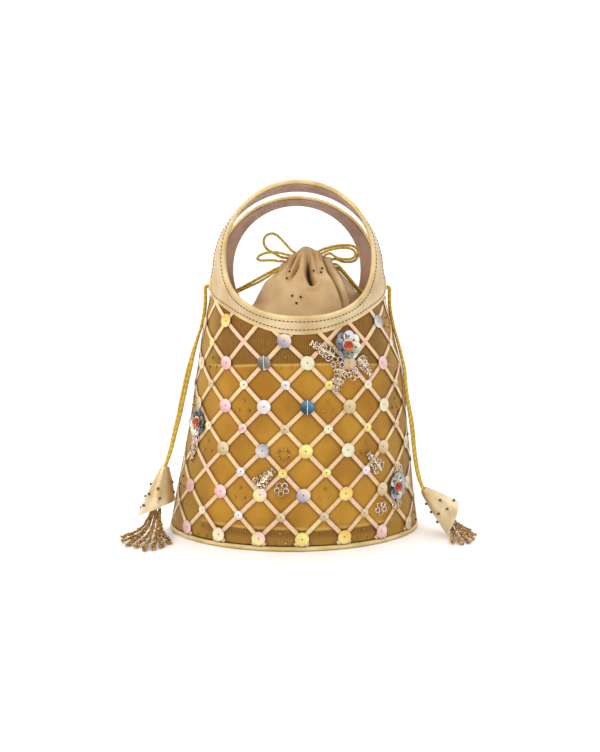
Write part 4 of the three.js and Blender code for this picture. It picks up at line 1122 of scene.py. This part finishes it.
def lattice(name, node, place):
    pile = Pile()
    for column in range(-FURTHEST_COLUMN, FURTHEST_COLUMN + 1, 2):
        ribbon(pile, column, 1, UNDER_RIBBON)
        ribbon(pile, column, -1, OVER_RIBBON)
    return pile.piece(name, RIBBON, "peach_ribbon", [node], place)


lattice("front_ribbons", "front_lattice", same)
lattice("back_ribbons", "back_lattice", turned)


def wall_frame(s, z, out=0.0):
    """Local frame on the wall for small ornaments: place, right, up and out."""
    here = on_front(s, z, out)
    right = unit(on_front(s + 0.5, z, out) - on_front(s - 0.5, z, out))
    up = unit(on_front(s, z + 0.5, out) - on_front(s, z - 0.5, out))
    return here, right, up, unit(np.cross(right, up))


# Sequins: cupped discs with a hole, in two colours each that paint their iridescent sheen; the tables count
# crossings as (row, column)
SEQUIN_COLOURS = {
    "pink": ("#F4D2CE", "#EAB4B4"), "cream": ("#F3DFC6", "#F4EBC0"), "yellow": ("#F3EE86", "#F0D27C"),
    "blush": ("#F2CFC6", "#F2E6A0"), "silver": ("#A8A4A8", "#D8D2CE"), "grey": ("#98938A", "#6A655E"),
    "blue": ("#4C7FA0", "#24485C"), "clear": ("#E2CBA0", "#CDB080"), "gold": ("#EFC65E", "#F5DC80"),
    "lilac": ("#EAD8C4", "#A89AB4"), "ivory": ("#E6DDBC", "#F0EBC8"), "pearl": ("#F6EEEE", "#E6DCD8"),
}
FRONT_SEQUINS = {
    (0, -6): "pink", (0, -4): "cream", (0, -2): "blush", (0, 0): "yellow", (0, 2): "gold", (0, 4): "pink",
    (1, -5): "cream", (1, -3): "pearl", (1, -1): "clear", (1, 1): "clear", (1, 3): "clear", (1, 5): "clear",
    (2, -6): "pink", (2, -4): "pink", (2, -2): "blush", (2, 0): "lilac", (2, 2): "gold", (2, 4): "clear",
    (3, -3): "pearl", (3, -1): "gold", (3, 1): "yellow", (3, 3): "pearl", (3, 5): "clear",
    (4, -4): "clear", (4, -2): "silver", (4, 0): "yellow", (4, 2): "ivory", (4, 4): "clear", (4, -6): "pink",
    (5, -3): "pink", (5, -1): "clear", (5, 1): "cream", (5, 3): "yellow", (5, -5): "cream", (5, 5): "clear",
    (6, -4): "pink", (6, -2): "pearl", (6, 0): "blue", (6, 2): "clear", (6, 4): "ivory", (6, 6): "clear",
    (7, -5): "clear", (7, -3): "cream", (7, -1): "pearl", (7, 1): "yellow", (7, 3): "cream", (7, 5): "clear",
    (8, -4): "pink", (8, -2): "grey", (8, 0): "ivory", (8, 4): "pink", (8, -6): "cream", (8, 2): "clear",
    (9, -5): "yellow", (9, -1): "lilac", (9, 5): "ivory",
    (10, -4): "gold", (10, 4): "silver",
}
NO_SEQUIN = {(9, -3), (9, 3), (9, 1), (3, -5), (8, 6), (10, -2), (10, 2)}
LARGE_SEQUIN, SMALL_SEQUIN, SEQUIN_HOLE, SEQUIN_THICKNESS = 5.0, 3.2, 0.5, 0.14
SEQUIN_REACH = 2.2
SEQUIN_LIFT = OVER_RIBBON + RIBBON_THICKNESS + 0.12


def disc(pile, frame_here, radius, top, low, cup, tilt=(0.0, 0.0), sides=26):
    """A cupped disc with a hole in a local frame (centre, right, up, out), in painted iridescent sheen from
    its top to its low colour, with painted shade at its rim.
    """
    here, right, up, out = frame_here
    right, up = unit(right + out * tilt[0]), unit(up + out * tilt[1])
    out = unit(np.cross(right, up))
    turns = np.linspace(0, 2 * math.pi, sides, endpoint=False)
    radii = np.array([SEQUIN_HOLE, SEQUIN_HOLE * 1.5, radius * 0.45, radius * 0.8, radius])
    heights = np.array([0.12, 0.05, 0.0, 0.35, 1.0]) * cup
    u = np.cos(turns)[None, :] * radii[:, None]
    v = np.sin(turns)[None, :] * radii[:, None]
    h = np.broadcast_to(heights[:, None], u.shape)
    lower = here + right * u[..., None] + up * v[..., None] + out * h[..., None]
    upper = here + right * u[..., None] + up * v[..., None] + out * (h + SEQUIN_THICKNESS)[..., None]
    points, faces = shell(np.swapaxes(upper, 0, 1), np.swapaxes(lower, 0, 1), True)
    # Painted sheen: the top colour towards the upper right, the low colour towards the lower left; painted
    # shade darkens the outer ring.
    painted_sheen_share = smoothstep(0.5 + 0.75 * (v * 0.8 + u * 0.6) / radius)
    painted_rim_shade = np.where(radii[:, None] >= radius, 0.82, 1.0)
    tone = (np.asarray(low) + (np.asarray(top) - np.asarray(low)) * painted_sheen_share[..., None]) * painted_rim_shade[..., None]
    tone[..., 3] = 1
    tone = np.swapaxes(tone, 0, 1).reshape(-1, 4)
    pile.put(points, faces, np.concatenate([tone, tone]))


def crossings():
    """Row, column, place along the wall and height of each crossing that has room for a sequin."""
    for row in range(0, 12):
        for column in range(-8, 9):
            s, z = PHASE + column * STEP_ACROSS, FIRST_ROW + row * STEP_UP
            room = all(on_lattice(s + sign * SEQUIN_REACH, z + SEQUIN_REACH) for sign in (-1, 1))
            if (row + column) % 2 == 0 and room:
                yield row, column, s, z


def sequins(name, place, table, plain):
    """Sequins on the crossings with their knots; where the table has none, the plain kinds take turns."""
    discs, knots = Pile(), Pile()
    for row, column, s, z in crossings():
        if (row, column) in NO_SEQUIN and table:
            continue
        kind = table.get((row, column)) or plain[(row * 3 + column) % len(plain)]
        top, low = (colour(c) for c in SEQUIN_COLOURS[kind])
        radius = LARGE_SEQUIN if row % 2 == 0 or (row, column) == (9, -1) else SMALL_SEQUIN
        tilt = (rng.uniform(-0.05, 0.05), rng.uniform(-0.05, 0.05))
        spot = wall_frame(s, z, SEQUIN_LIFT)
        disc(discs, spot, radius, top, low, 0.45, tilt)
        here, _, up, out = spot
        knots.put(*ball(here + out * 0.05, 0.5, 4, 8, out, 0.6), colour("#3A2A18"))
        if kind in ("blue", "grey"):
            shares = np.linspace(-1.05, 1.05, 9)
            thread = [here + up * radius * t + out * (0.85 - 0.3 * abs(t)) for t in shares]
            knots.put(*tube(thread, 0.3, 5), colour("#EDE6E0"))
    discs.piece(name, SEQUIN, "silver_sequin", place=place)
    knots.piece(name + "_knots", THREAD, place=place)


sequins("front_sequins", same, FRONT_SEQUINS, ["clear", "cream"])
sequins("back_sequins", turned, {}, ["cream", "pink", "clear", "pearl", "blush"])


# Seed beads in the open diamonds: trios, and rings of ten in two of them
SEED_RADIUS, SEED_LIFT, SEED_ROOM = 0.95, 0.7, 7
SEED_TRIO = [(0.0, 3.9), (-4.0, -2.9), (4.0, -2.9)]
SEED_RING = [(4.0 * math.cos(k * 0.63), 4.0 * math.sin(k * 0.63) - 2.5) for k in range(10)]
RING_DIAMONDS = ((4, -1), (6, -5))


def seed_beads(name, place):
    pile = Pile()
    for row in range(0, 11, 2):
        for column in range(-7, 8, 2):
            if column % 4 != (3 if row % 4 == 0 else 1):
                continue
            s, z = PHASE + column * STEP_ACROSS, FIRST_ROW + row * STEP_UP
            if not on_lattice(s, z + SEED_ROOM):
                continue
            for ds, dz in SEED_RING if (row, column) in RING_DIAMONDS else SEED_TRIO:
                here, _, _, out = wall_frame(s + ds, z + dz, SEED_LIFT)
                tint = mixed(colour("#DDA848"), colour("#8E5E1C"), rng.random())
                pile.put(*ball(here, SEED_RADIUS, 5, 8, out), tint)
    return pile.piece(name, BEAD, "bronze_bead", place=place)


seed_beads("front_seed_beads", same)
seed_beads("back_seed_beads", turned)


# Sequin flowers with bead hearts: place (s, z), then petals as (degrees, low colour, top colour), the two
# colours painting each petal's sheen as on the sequins
WHITE, IVORY, SILVER, STEEL = colour("#FFFFFF"), colour("#F6F2D0"), colour("#A6AAB4"), colour("#5A5C60")
OLIVE, LEMON, RUBY, EMBER = colour("#B4B59A"), colour("#F0E49A"), colour("#B0101E"), colour("#E0801C")
PALE_LILAC, SLATE = colour("#EADCEB"), colour("#49506A")
FLOWER_LIFT = SEQUIN_LIFT + 0.3
PETAL_RING, PETAL_RADIUS, HEART_RADIUS = 6.3, 4.3, 4.4
HEART_RING, HEART_BEAD = 2.3, 1.6
FLOWERS = {
    "top_right": ((33.0, 146.0), [
        (35, OLIVE, WHITE), (80, WHITE, PALE_LILAC), (-15, OLIVE, IVORY), (-60, IVORY, WHITE),
        (130, SILVER, STEEL), (175, STEEL, SILVER), (225, SILVER, STEEL), (-90, STEEL, OLIVE)]),
    "left": ((-86.0, 88.0), [
        (95, STEEL, SILVER), (50, STEEL, SLATE), (150, OLIVE, STEEL), (195, WHITE, IVORY),
        (240, IVORY, WHITE), (5, STEEL, OLIVE), (-40, SILVER, STEEL), (-85, WHITE, SILVER)]),
    "lower_right": ((79.5, 40.0), [
        (95, WHITE, IVORY), (55, WHITE, SILVER), (135, WHITE, SILVER), (15, WHITE, SILVER),
        (180, STEEL, OLIVE), (225, SILVER, STEEL), (-35, OLIVE, SILVER), (-85, SILVER, WHITE)]),
}


def flower(name, spot, petals, node):
    """Petals round a pale disc, each held by a dark bead, with seven red and orange beads at the heart."""
    pile, beads = Pile(), Pile()
    s, z = spot
    for i, (degrees, low, top) in enumerate(petals):
        turn = math.radians(degrees)
        lift = FLOWER_LIFT + 0.25 * (i % 3)
        spot_frame = wall_frame(s + PETAL_RING * math.cos(turn), z + PETAL_RING * math.sin(turn), lift)
        tilt = (0.22 * math.cos(turn), 0.22 * math.sin(turn))
        disc(pile, spot_frame, PETAL_RADIUS, top, low, 0.8, tilt, 24)
        here, _, _, out = spot_frame
        beads.put(*ball(here + out * 0.55, 0.75, 4, 8, out), colour("#2C2430"))
    disc(pile, wall_frame(s, z, FLOWER_LIFT + 0.9), HEART_RADIUS, LEMON, WHITE, 0.5, (0, 0), 24)
    around = [(HEART_RING * math.cos(k * 1.05), HEART_RING * math.sin(k * 1.05)) for k in range(6)]
    hearts = [(0.0, 0.0)] + around
    for k, (ds, dz) in enumerate(hearts):
        here, _, _, out = wall_frame(s + ds, z + dz - 0.8, FLOWER_LIFT + 2.4 - 0.35 * (k > 0))
        tint = mixed(RUBY, EMBER, 0.85 if k in (5, 6) else rng.random() * 0.25)
        beads.put(*ball(here, HEART_BEAD, 6, 10, out), tint)
    pile.piece(f"flower_{name}_petals", SEQUIN, "silver_sequin", [node])
    beads.piece(f"flower_{name}_heart", BEAD, "bronze_bead")


for where, (spot, petals) in FLOWERS.items():
    flower(where, spot, petals, f"flower_{where}")


# Looped wire sprays with tiny beads, as (place, length, spread, lean), and small looped wire flowers
ROSE_WIRE, PALE_WIRE = colour("#E2C09A"), colour("#FFF2DC")
LILAC_WIRE, GILT = colour("#E6E0EA"), colour("#D9AE62")
SPRAYS = {
    "upper_left": ((15.5, 142.0), 15, 4.0, 2.6), "upper_right": ((45.5, 131.4), 13, 3.6, -0.9),
    "upper_foot": ((25.5, 121.5), 14, 4.0, -1.9), "lower_left": ((-25.0, 51.0), 14, 4.0, 0.8),
    "lower_right": ((57.0, 60.0), 15, 4.0, 2.3), "left_foot": ((-88.5, 66.0), 11, 3.0, -1.8),
}
WIRE_FLOWERS = {
    "upper": (36.5, 125.5), "middle": (-12.0, 44.5), "lower": (63.5, 26.0), "beside_top": (24.8, 133.0),
    "under_left": (-87.5, 77.0), "over_right": (82.0, 51.0), "under_right": (80.0, 27.0),
}
# Smaller wire work beside the flowers, seen in the photograph and left out of the solids
EXTRA_WIRE = ("left_foot", "beside_top", "under_left", "over_right", "under_right")
SPRAY_LIFT = SEQUIN_LIFT + 0.2
STEM_RADIUS, LOOP_RADIUS = 0.38, 0.36
LOOP_RING, LOOP_SIZE = 3.3, 1.75
SPRAY_LEAVES, LEAF_ANGLE = 6, 0.95


def wire(pile, spot, flat_line, radius, tint, lift=SPRAY_LIFT, closed=False):
    """Wire bent along a flat line that is laid on the wall round a spot."""
    s, z = spot
    flat_line = np.asarray(flat_line, float)
    line = on_front(s + flat_line[:, 0], z + flat_line[:, 1], lift + radius)
    pile.put(*tube(line, radius, 6, closed), tint)


def petal_loop(base, angle, length, width):
    """A teardrop loop from base, pointing along angle."""
    t = np.linspace(0, 1, 14)
    u = length * np.sin(math.pi * t)
    v = width * np.sin(2 * math.pi * t) * 0.5
    return np.stack([base[0] + u * math.cos(angle) - v * math.sin(angle),
                     base[1] + u * math.sin(angle) + v * math.cos(angle)], -1)


def spray(where, spot, length, spread, lean):
    """A beaded stem with wire loops on both sides that get shorter towards its end."""
    wires, beads = Pile(), Pile()
    ahead = np.array([math.cos(lean), math.sin(lean)])
    stem = [ahead * length * (t * 1.25 - 0.55) for t in np.linspace(0, 1, 16)]
    wire(wires, spot, stem, STEM_RADIUS, PALE_WIRE, SPRAY_LIFT + 0.4)
    for k in range(SPRAY_LEAVES):
        base = ahead * length * (k * 0.22 - 0.5)
        reach = spread * (1.5 - 0.2 * k)
        tint = ROSE_WIRE if k % 2 else PALE_WIRE
        for sign in (1, -1):
            angle = lean + sign * LEAF_ANGLE
            leaf = petal_loop(base, angle, reach, reach * 0.6)
            wire(wires, spot, leaf, LOOP_RADIUS, tint, SPRAY_LIFT + 0.1 * (k % 2))
            for t in (0.3, 0.62, 1.0):
                at = base + reach * t * np.array([math.cos(angle), math.sin(angle)])
                here, _, _, out = wall_frame(spot[0] + at[0], spot[1] + at[1], SPRAY_LIFT + 0.7)
                beads.put(*ball(here, 0.78, 4, 7, out), mixed(BRONZE_DARK, PALE_WIRE, rng.random()))
    stands_for = () if where in EXTRA_WIRE else [f"spray_{where}"]
    wires.piece(f"spray_{where}_wire", WIRE, "gold_wire", stands_for)
    beads.piece(f"spray_{where}_beads", WIRE, "gold_wire")


def wire_flower(where, spot):
    """Five round loops of wire about a gilt bead."""
    pile = Pile()
    turns = np.linspace(0, 2 * math.pi, 16, endpoint=False)
    ring = LOOP_SIZE * np.stack([np.cos(turns), np.sin(turns)], -1)
    for k in range(5):
        turn = 2 * math.pi * k / 5 + 0.9
        centre = np.array([LOOP_RING * math.cos(turn), LOOP_RING * math.sin(turn)])
        wire(pile, spot, centre + ring, LOOP_RADIUS, ROSE_WIRE if k % 2 else LILAC_WIRE, closed=True)
    here, _, _, out = wall_frame(*spot, SPRAY_LIFT + 0.6)
    pile.put(*ball(here, 1.0, 5, 8, out), GILT)
    stands_for = () if where in EXTRA_WIRE else [f"wire_flower_{where}"]
    pile.piece(f"wire_flower_{where}_loops", WIRE, "gold_wire", stands_for)


for where, (spot, length, spread, lean) in SPRAYS.items():
    spray(where, spot, length, spread, lean)
for where, spot in WIRE_FLOWERS.items():
    wire_flower(where, spot)


# Pouch: a gathered satin dome; its folds are listed creases over a smooth body
# Levels: height, leftmost and rightmost x, half depth
POUCH_LEVELS = np.array([
    (150, -68, 68, 48), (157, -66, 66, 46), (163, -58, 60, 43), (170, -46, 55, 39), (178, -37, 52, 35),
    (187, -32, 49, 31), (196, -27, 42, 26), (205, -17, 33, 20), (211, -13.6, 29, 15.5), (216, -9, 25.6, 11),
    (220, -3.4, 20.4, 8), (223, 0.6, 13.5, 5.5), (225.4, 4, 9, 3),
])
# Creases: points (x, z) on the front, half width, depth, share of the line where it is deepest
POUCH_CREASES = [
    ([(7.9, 225), (7.6, 214), (7.2, 204), (7.4, 198), (9.6, 192)], 1.9, 8.5, 0.72),
    ([(-0.6, 221), (-4.6, 212), (-6.6, 206), (-8.6, 199)], 1.4, 4.4, 0.35),
    ([(1.8, 216), (-1.3, 205), (-3.8, 200), (-7, 194)], 1.2, 4.0, 0.5),
    ([(20.6, 219), (22.2, 209), (23.4, 202), (27.6, 194), (30.8, 187), (34, 179), (36, 171)], 1.7, 7.0, 0.4),
    ([(12, 222), (13.4, 213), (13.4, 206)], 1.3, 2.4, 0.3),
    ([(16.8, 221), (17.8, 213), (18.6, 207)], 1.2, 2.2, 0.3),
    ([(-8, 214), (-13, 206), (-21, 195), (-28, 183)], 1.8, 2.4, 0.2),
    ([(26, 213), (28, 205), (34, 197), (42, 188)], 1.6, 3.0, 0.3),
    ([(1.6, 223), (2.2, 214)], 0.9, 1.8, 0.3),
]
# Swells and dimples: middle (x, z), half sizes, height
POUCH_SWELLS = [
    ((4.2, 214), (2.6, 9), 1.6), ((-1, 188), (16, 12), 2.6), ((19, 190), (7, 12), 2.6),
    ((26, 210), (2.4, 7), 1.8), ((-14, 199), (6, 7), 1.2), ((10.5, 196), (3.4, 6), -2.4),
]
CREASE_FADE, LIP_SHARE, LIP_DISTANCE = 0.42, 0.35, 2.2
POUCH_ROWS, POUCH_COLUMNS, POUCH_THICKNESS = 110, 288, 0.6


def crease_depth(x, z, line, spread, depth, peak):
    """How far the points sink into a crease, with a low lip raised on either side of it."""
    line = np.asarray(line, float)
    best = np.full(x.shape, 1e9)
    share = np.zeros(x.shape)
    for i in range(len(line) - 1):
        a, b = line[i], line[i + 1]
        d = b - a
        t = np.clip(((x - a[0]) * d[0] + (z - a[1]) * d[1]) / (d @ d), 0, 1)
        off = np.hypot(x - a[0] - t * d[0], z - a[1] - t * d[1])
        closer = off < best
        best = np.where(closer, off, best)
        share = np.where(closer, (i + t) / (len(line) - 1), share)
    fade = np.exp(-(((share - peak) / CREASE_FADE) ** 2))
    valley = np.exp(-((best / spread) ** 2))
    lip = np.exp(-(((best - LIP_DISTANCE * spread) / spread) ** 2))
    return depth * fade * (valley - LIP_SHARE * lip)


def pouch():
    """Points, faces and painted shade and light of the pouch, and the net of its outer skin."""
    levels = np.linspace(0, 1, POUCH_ROWS) ** 0.9
    z_levels = POUCH_LEVELS[:, 0]
    z = z_levels[0] + (z_levels[-1] - z_levels[0]) * levels
    left, right, depth = (np.interp(z, z_levels, POUCH_LEVELS[:, k]) for k in (1, 2, 3))
    kernel = np.array([1, 4, 6, 4, 1]) / 16
    for values in (left, right, depth):
        padded = np.concatenate([[values[0]] * 2, values, [values[-1]] * 2])
        values[:] = np.convolve(padded, kernel, "valid")
    turns = np.linspace(0, 2 * math.pi, POUCH_COLUMNS, endpoint=False)
    zz, ww = np.meshgrid(z, turns, indexing="ij")
    half = ((right - left) / 2)[:, None]
    middle = ((right + left) / 2)[:, None]
    x = middle + half * np.sin(ww)
    y = -depth[:, None] * np.cos(ww)
    front = smoothstep((np.cos(ww) + 0.15) / 0.5)
    sink = np.zeros_like(x)
    for line, spread, deep, peak in POUCH_CREASES:
        sink += crease_depth(x, zz, line, spread, deep, peak)
    for (cx, cz), (sx, sz), high in POUCH_SWELLS:
        sink -= high * np.exp(-(((x - cx) / sx) ** 2) - (((zz - cz) / sz) ** 2))
    gather = np.clip((zz - 165) / 50, 0, 1)
    back_folds = gather * (1.6 + 1.4 * np.cos(11 * ww + 0.6) + 0.7 * np.cos(17 * ww + 2.0))
    sink = sink * front + back_folds * (1 - front)
    sink += 0.35 * np.sin(0.33 * x + 0.21 * zz) * np.sin(0.19 * zz - 0.12 * x + 1.2)
    outward = np.stack([np.sin(ww) / half, -np.cos(ww) / depth[:, None], np.full_like(ww, 0.012)], -1)
    sink = np.minimum(sink, 0.75 * np.minimum(half, depth[:, None]))
    skin = np.stack([x, y, zz], -1) - unit(outward) * sink[..., None]
    inner = skin - unit(outward) * POUCH_THICKNESS
    inner[-1] = skin[-1] - np.array([0, 0, POUCH_THICKNESS])
    points, faces = shell(np.swapaxes(skin, 0, 1), np.swapaxes(inner, 0, 1), True)
    cap = len(points)
    points = np.concatenate([points, [skin[-1].mean(axis=0) + (0, 0, 0.8)]])
    # Painted shade, darker and warmer in the creases, and painted light, a little lighter on the swells.
    shade = 1.0 - 0.72 * smoothstep((sink - 0.6) / 4.5) + 0.1 * smoothstep(-sink / 2)
    shade = np.swapaxes(shade, 0, 1).reshape(-1)
    shade = np.concatenate([shade, shade, [0.8]])[:, None]
    shade = np.concatenate([shade, shade ** 1.12, shade ** 1.3, np.ones_like(shade)], axis=1)
    for j in range(POUCH_COLUMNS):
        a, b = (k * POUCH_ROWS + POUCH_ROWS - 1 for k in (j, (j + 1) % POUCH_COLUMNS))
        faces.append([a, b, cap])
    return points, faces, skin, shade


pouch_points, pouch_faces, pouch_skin, pouch_shade = pouch()
pile = Pile()
pile.put(pouch_points, flipped(pouch_faces), pouch_shade)
pouch_piece = pile.piece("gathered_pouch", POUCH, "taupe_satin", ["pouch"])


def pouch_bead(pile, x, z):
    """A bronze bead on the pouch's front over (x, z), with a painted glint."""
    flat = pouch_skin.reshape(-1, 3)
    flat = flat[flat[:, 1] < 0]
    spot = flat[np.argmin((flat[:, 0] - x) ** 2 + (flat[:, 2] - z) ** 2)]
    out = unit(np.array([spot[0] * 0.02, -1.0, 0.35]))
    pile.put(*ball(spot + out * 0.5, 1.0, 5, 9, out), colour("#3E2C16"))
    # Painted glint: a small light ball on the bead's upper front.
    pile.put(*ball(spot + out * 1.2 + np.array([0.25, 0, 0.3]), 0.3, 4, 6, out), colour("#C08A4A"))


POUCH_BEADS = [(-7.1, 202.4), (-8.8, 196.9), (17.9, 205.1), (16.5, 201.4), (11.3, 202.2), (-5, 182.2),
               (0.9, 181.3), (-2.5, 176.7)]
pile = Pile()
for x, z in POUCH_BEADS:
    pouch_bead(pile, x, z)
pouch_beads = pile.piece("pouch_beads", BEAD, "bronze_bead")


# Floor and light
def stage_floor():
    mesh = bpy.data.meshes.new("floor")
    mesh.from_pydata([(-6, -3, 0), (6, -3, 0), (6, 9, 0), (-6, 9, 0)], [], [(0, 1, 2, 3)])
    look = Look("floor_paper", Roughness=0.9, Specular_IOR_Level=0.1)
    base = look.mix(look.noise(3.0), colour("#FBFBFB"), colour("#FFFFFF"))
    mesh.materials.append(look.done(base))
    floor = bpy.data.objects.new("floor", mesh)
    scene.collection.objects.link(floor)


def area_light(name, place, target, size, power, tint="#FFFFFF"):
    data = bpy.data.lights.new(name, "AREA")
    data.shape = "RECTANGLE"
    data.size, data.size_y = size
    data.energy = power
    data.color = colour(tint)[:3]
    lamp = bpy.data.objects.new(name, data)
    aim = Vector(target) - Vector(place)
    lamp.matrix_world = Matrix.Translation(place) @ aim.to_track_quat("-Z", "Y").to_matrix().to_4x4()
    scene.collection.objects.link(lamp)


stage_floor()
area_light("key", (-0.85, -0.9, 1.05), (0, 0, 0.13), (0.5, 0.5), 7.5, "#FFF8EE")
area_light("fill", (1.1, -0.9, 0.6), (0, 0, 0.12), (1.0, 1.0), 1.6)
area_light("top", (0.1, 0.1, 1.4), (0, 0.1, 0), (1.6, 1.2), 4.0)


# Studio world: brighter above and behind the object, dimmer in front of it
WORLD_TILT = 0.9
WORLD_FROM, WORLD_TO = -0.15, 0.45
WORLD_DIM, WORLD_BRIGHT = 0.42, 1.24


def studio_world():
    world = bpy.data.worlds.new("studio")
    world.use_nodes = True
    nodes, links = world.node_tree.nodes, world.node_tree.links
    direction = nodes.new("ShaderNodeTexCoord")
    split = nodes.new("ShaderNodeSeparateXYZ")
    height = nodes.new("ShaderNodeMath")
    height.operation = "MULTIPLY_ADD"
    height.inputs[1].default_value = WORLD_TILT
    strength = nodes.new("ShaderNodeMapRange")
    strength.interpolation_type = "SMOOTHSTEP"
    for socket, value in zip(strength.inputs[1:5], (WORLD_FROM, WORLD_TO, WORLD_DIM, WORLD_BRIGHT)):
        socket.default_value = value
    background = nodes["Background"]
    background.inputs["Color"].default_value = (1.0, 1.0, 1.0, 1.0)
    links.new(direction.outputs["Generated"], split.inputs[0])
    links.new(split.outputs[2], height.inputs[0])
    links.new(split.outputs[1], height.inputs[2])
    links.new(height.outputs[0], strength.inputs[0])
    links.new(strength.outputs[0], background.inputs["Strength"])
    scene.world = world


studio_world()
scene.view_settings.view_transform = "Standard"
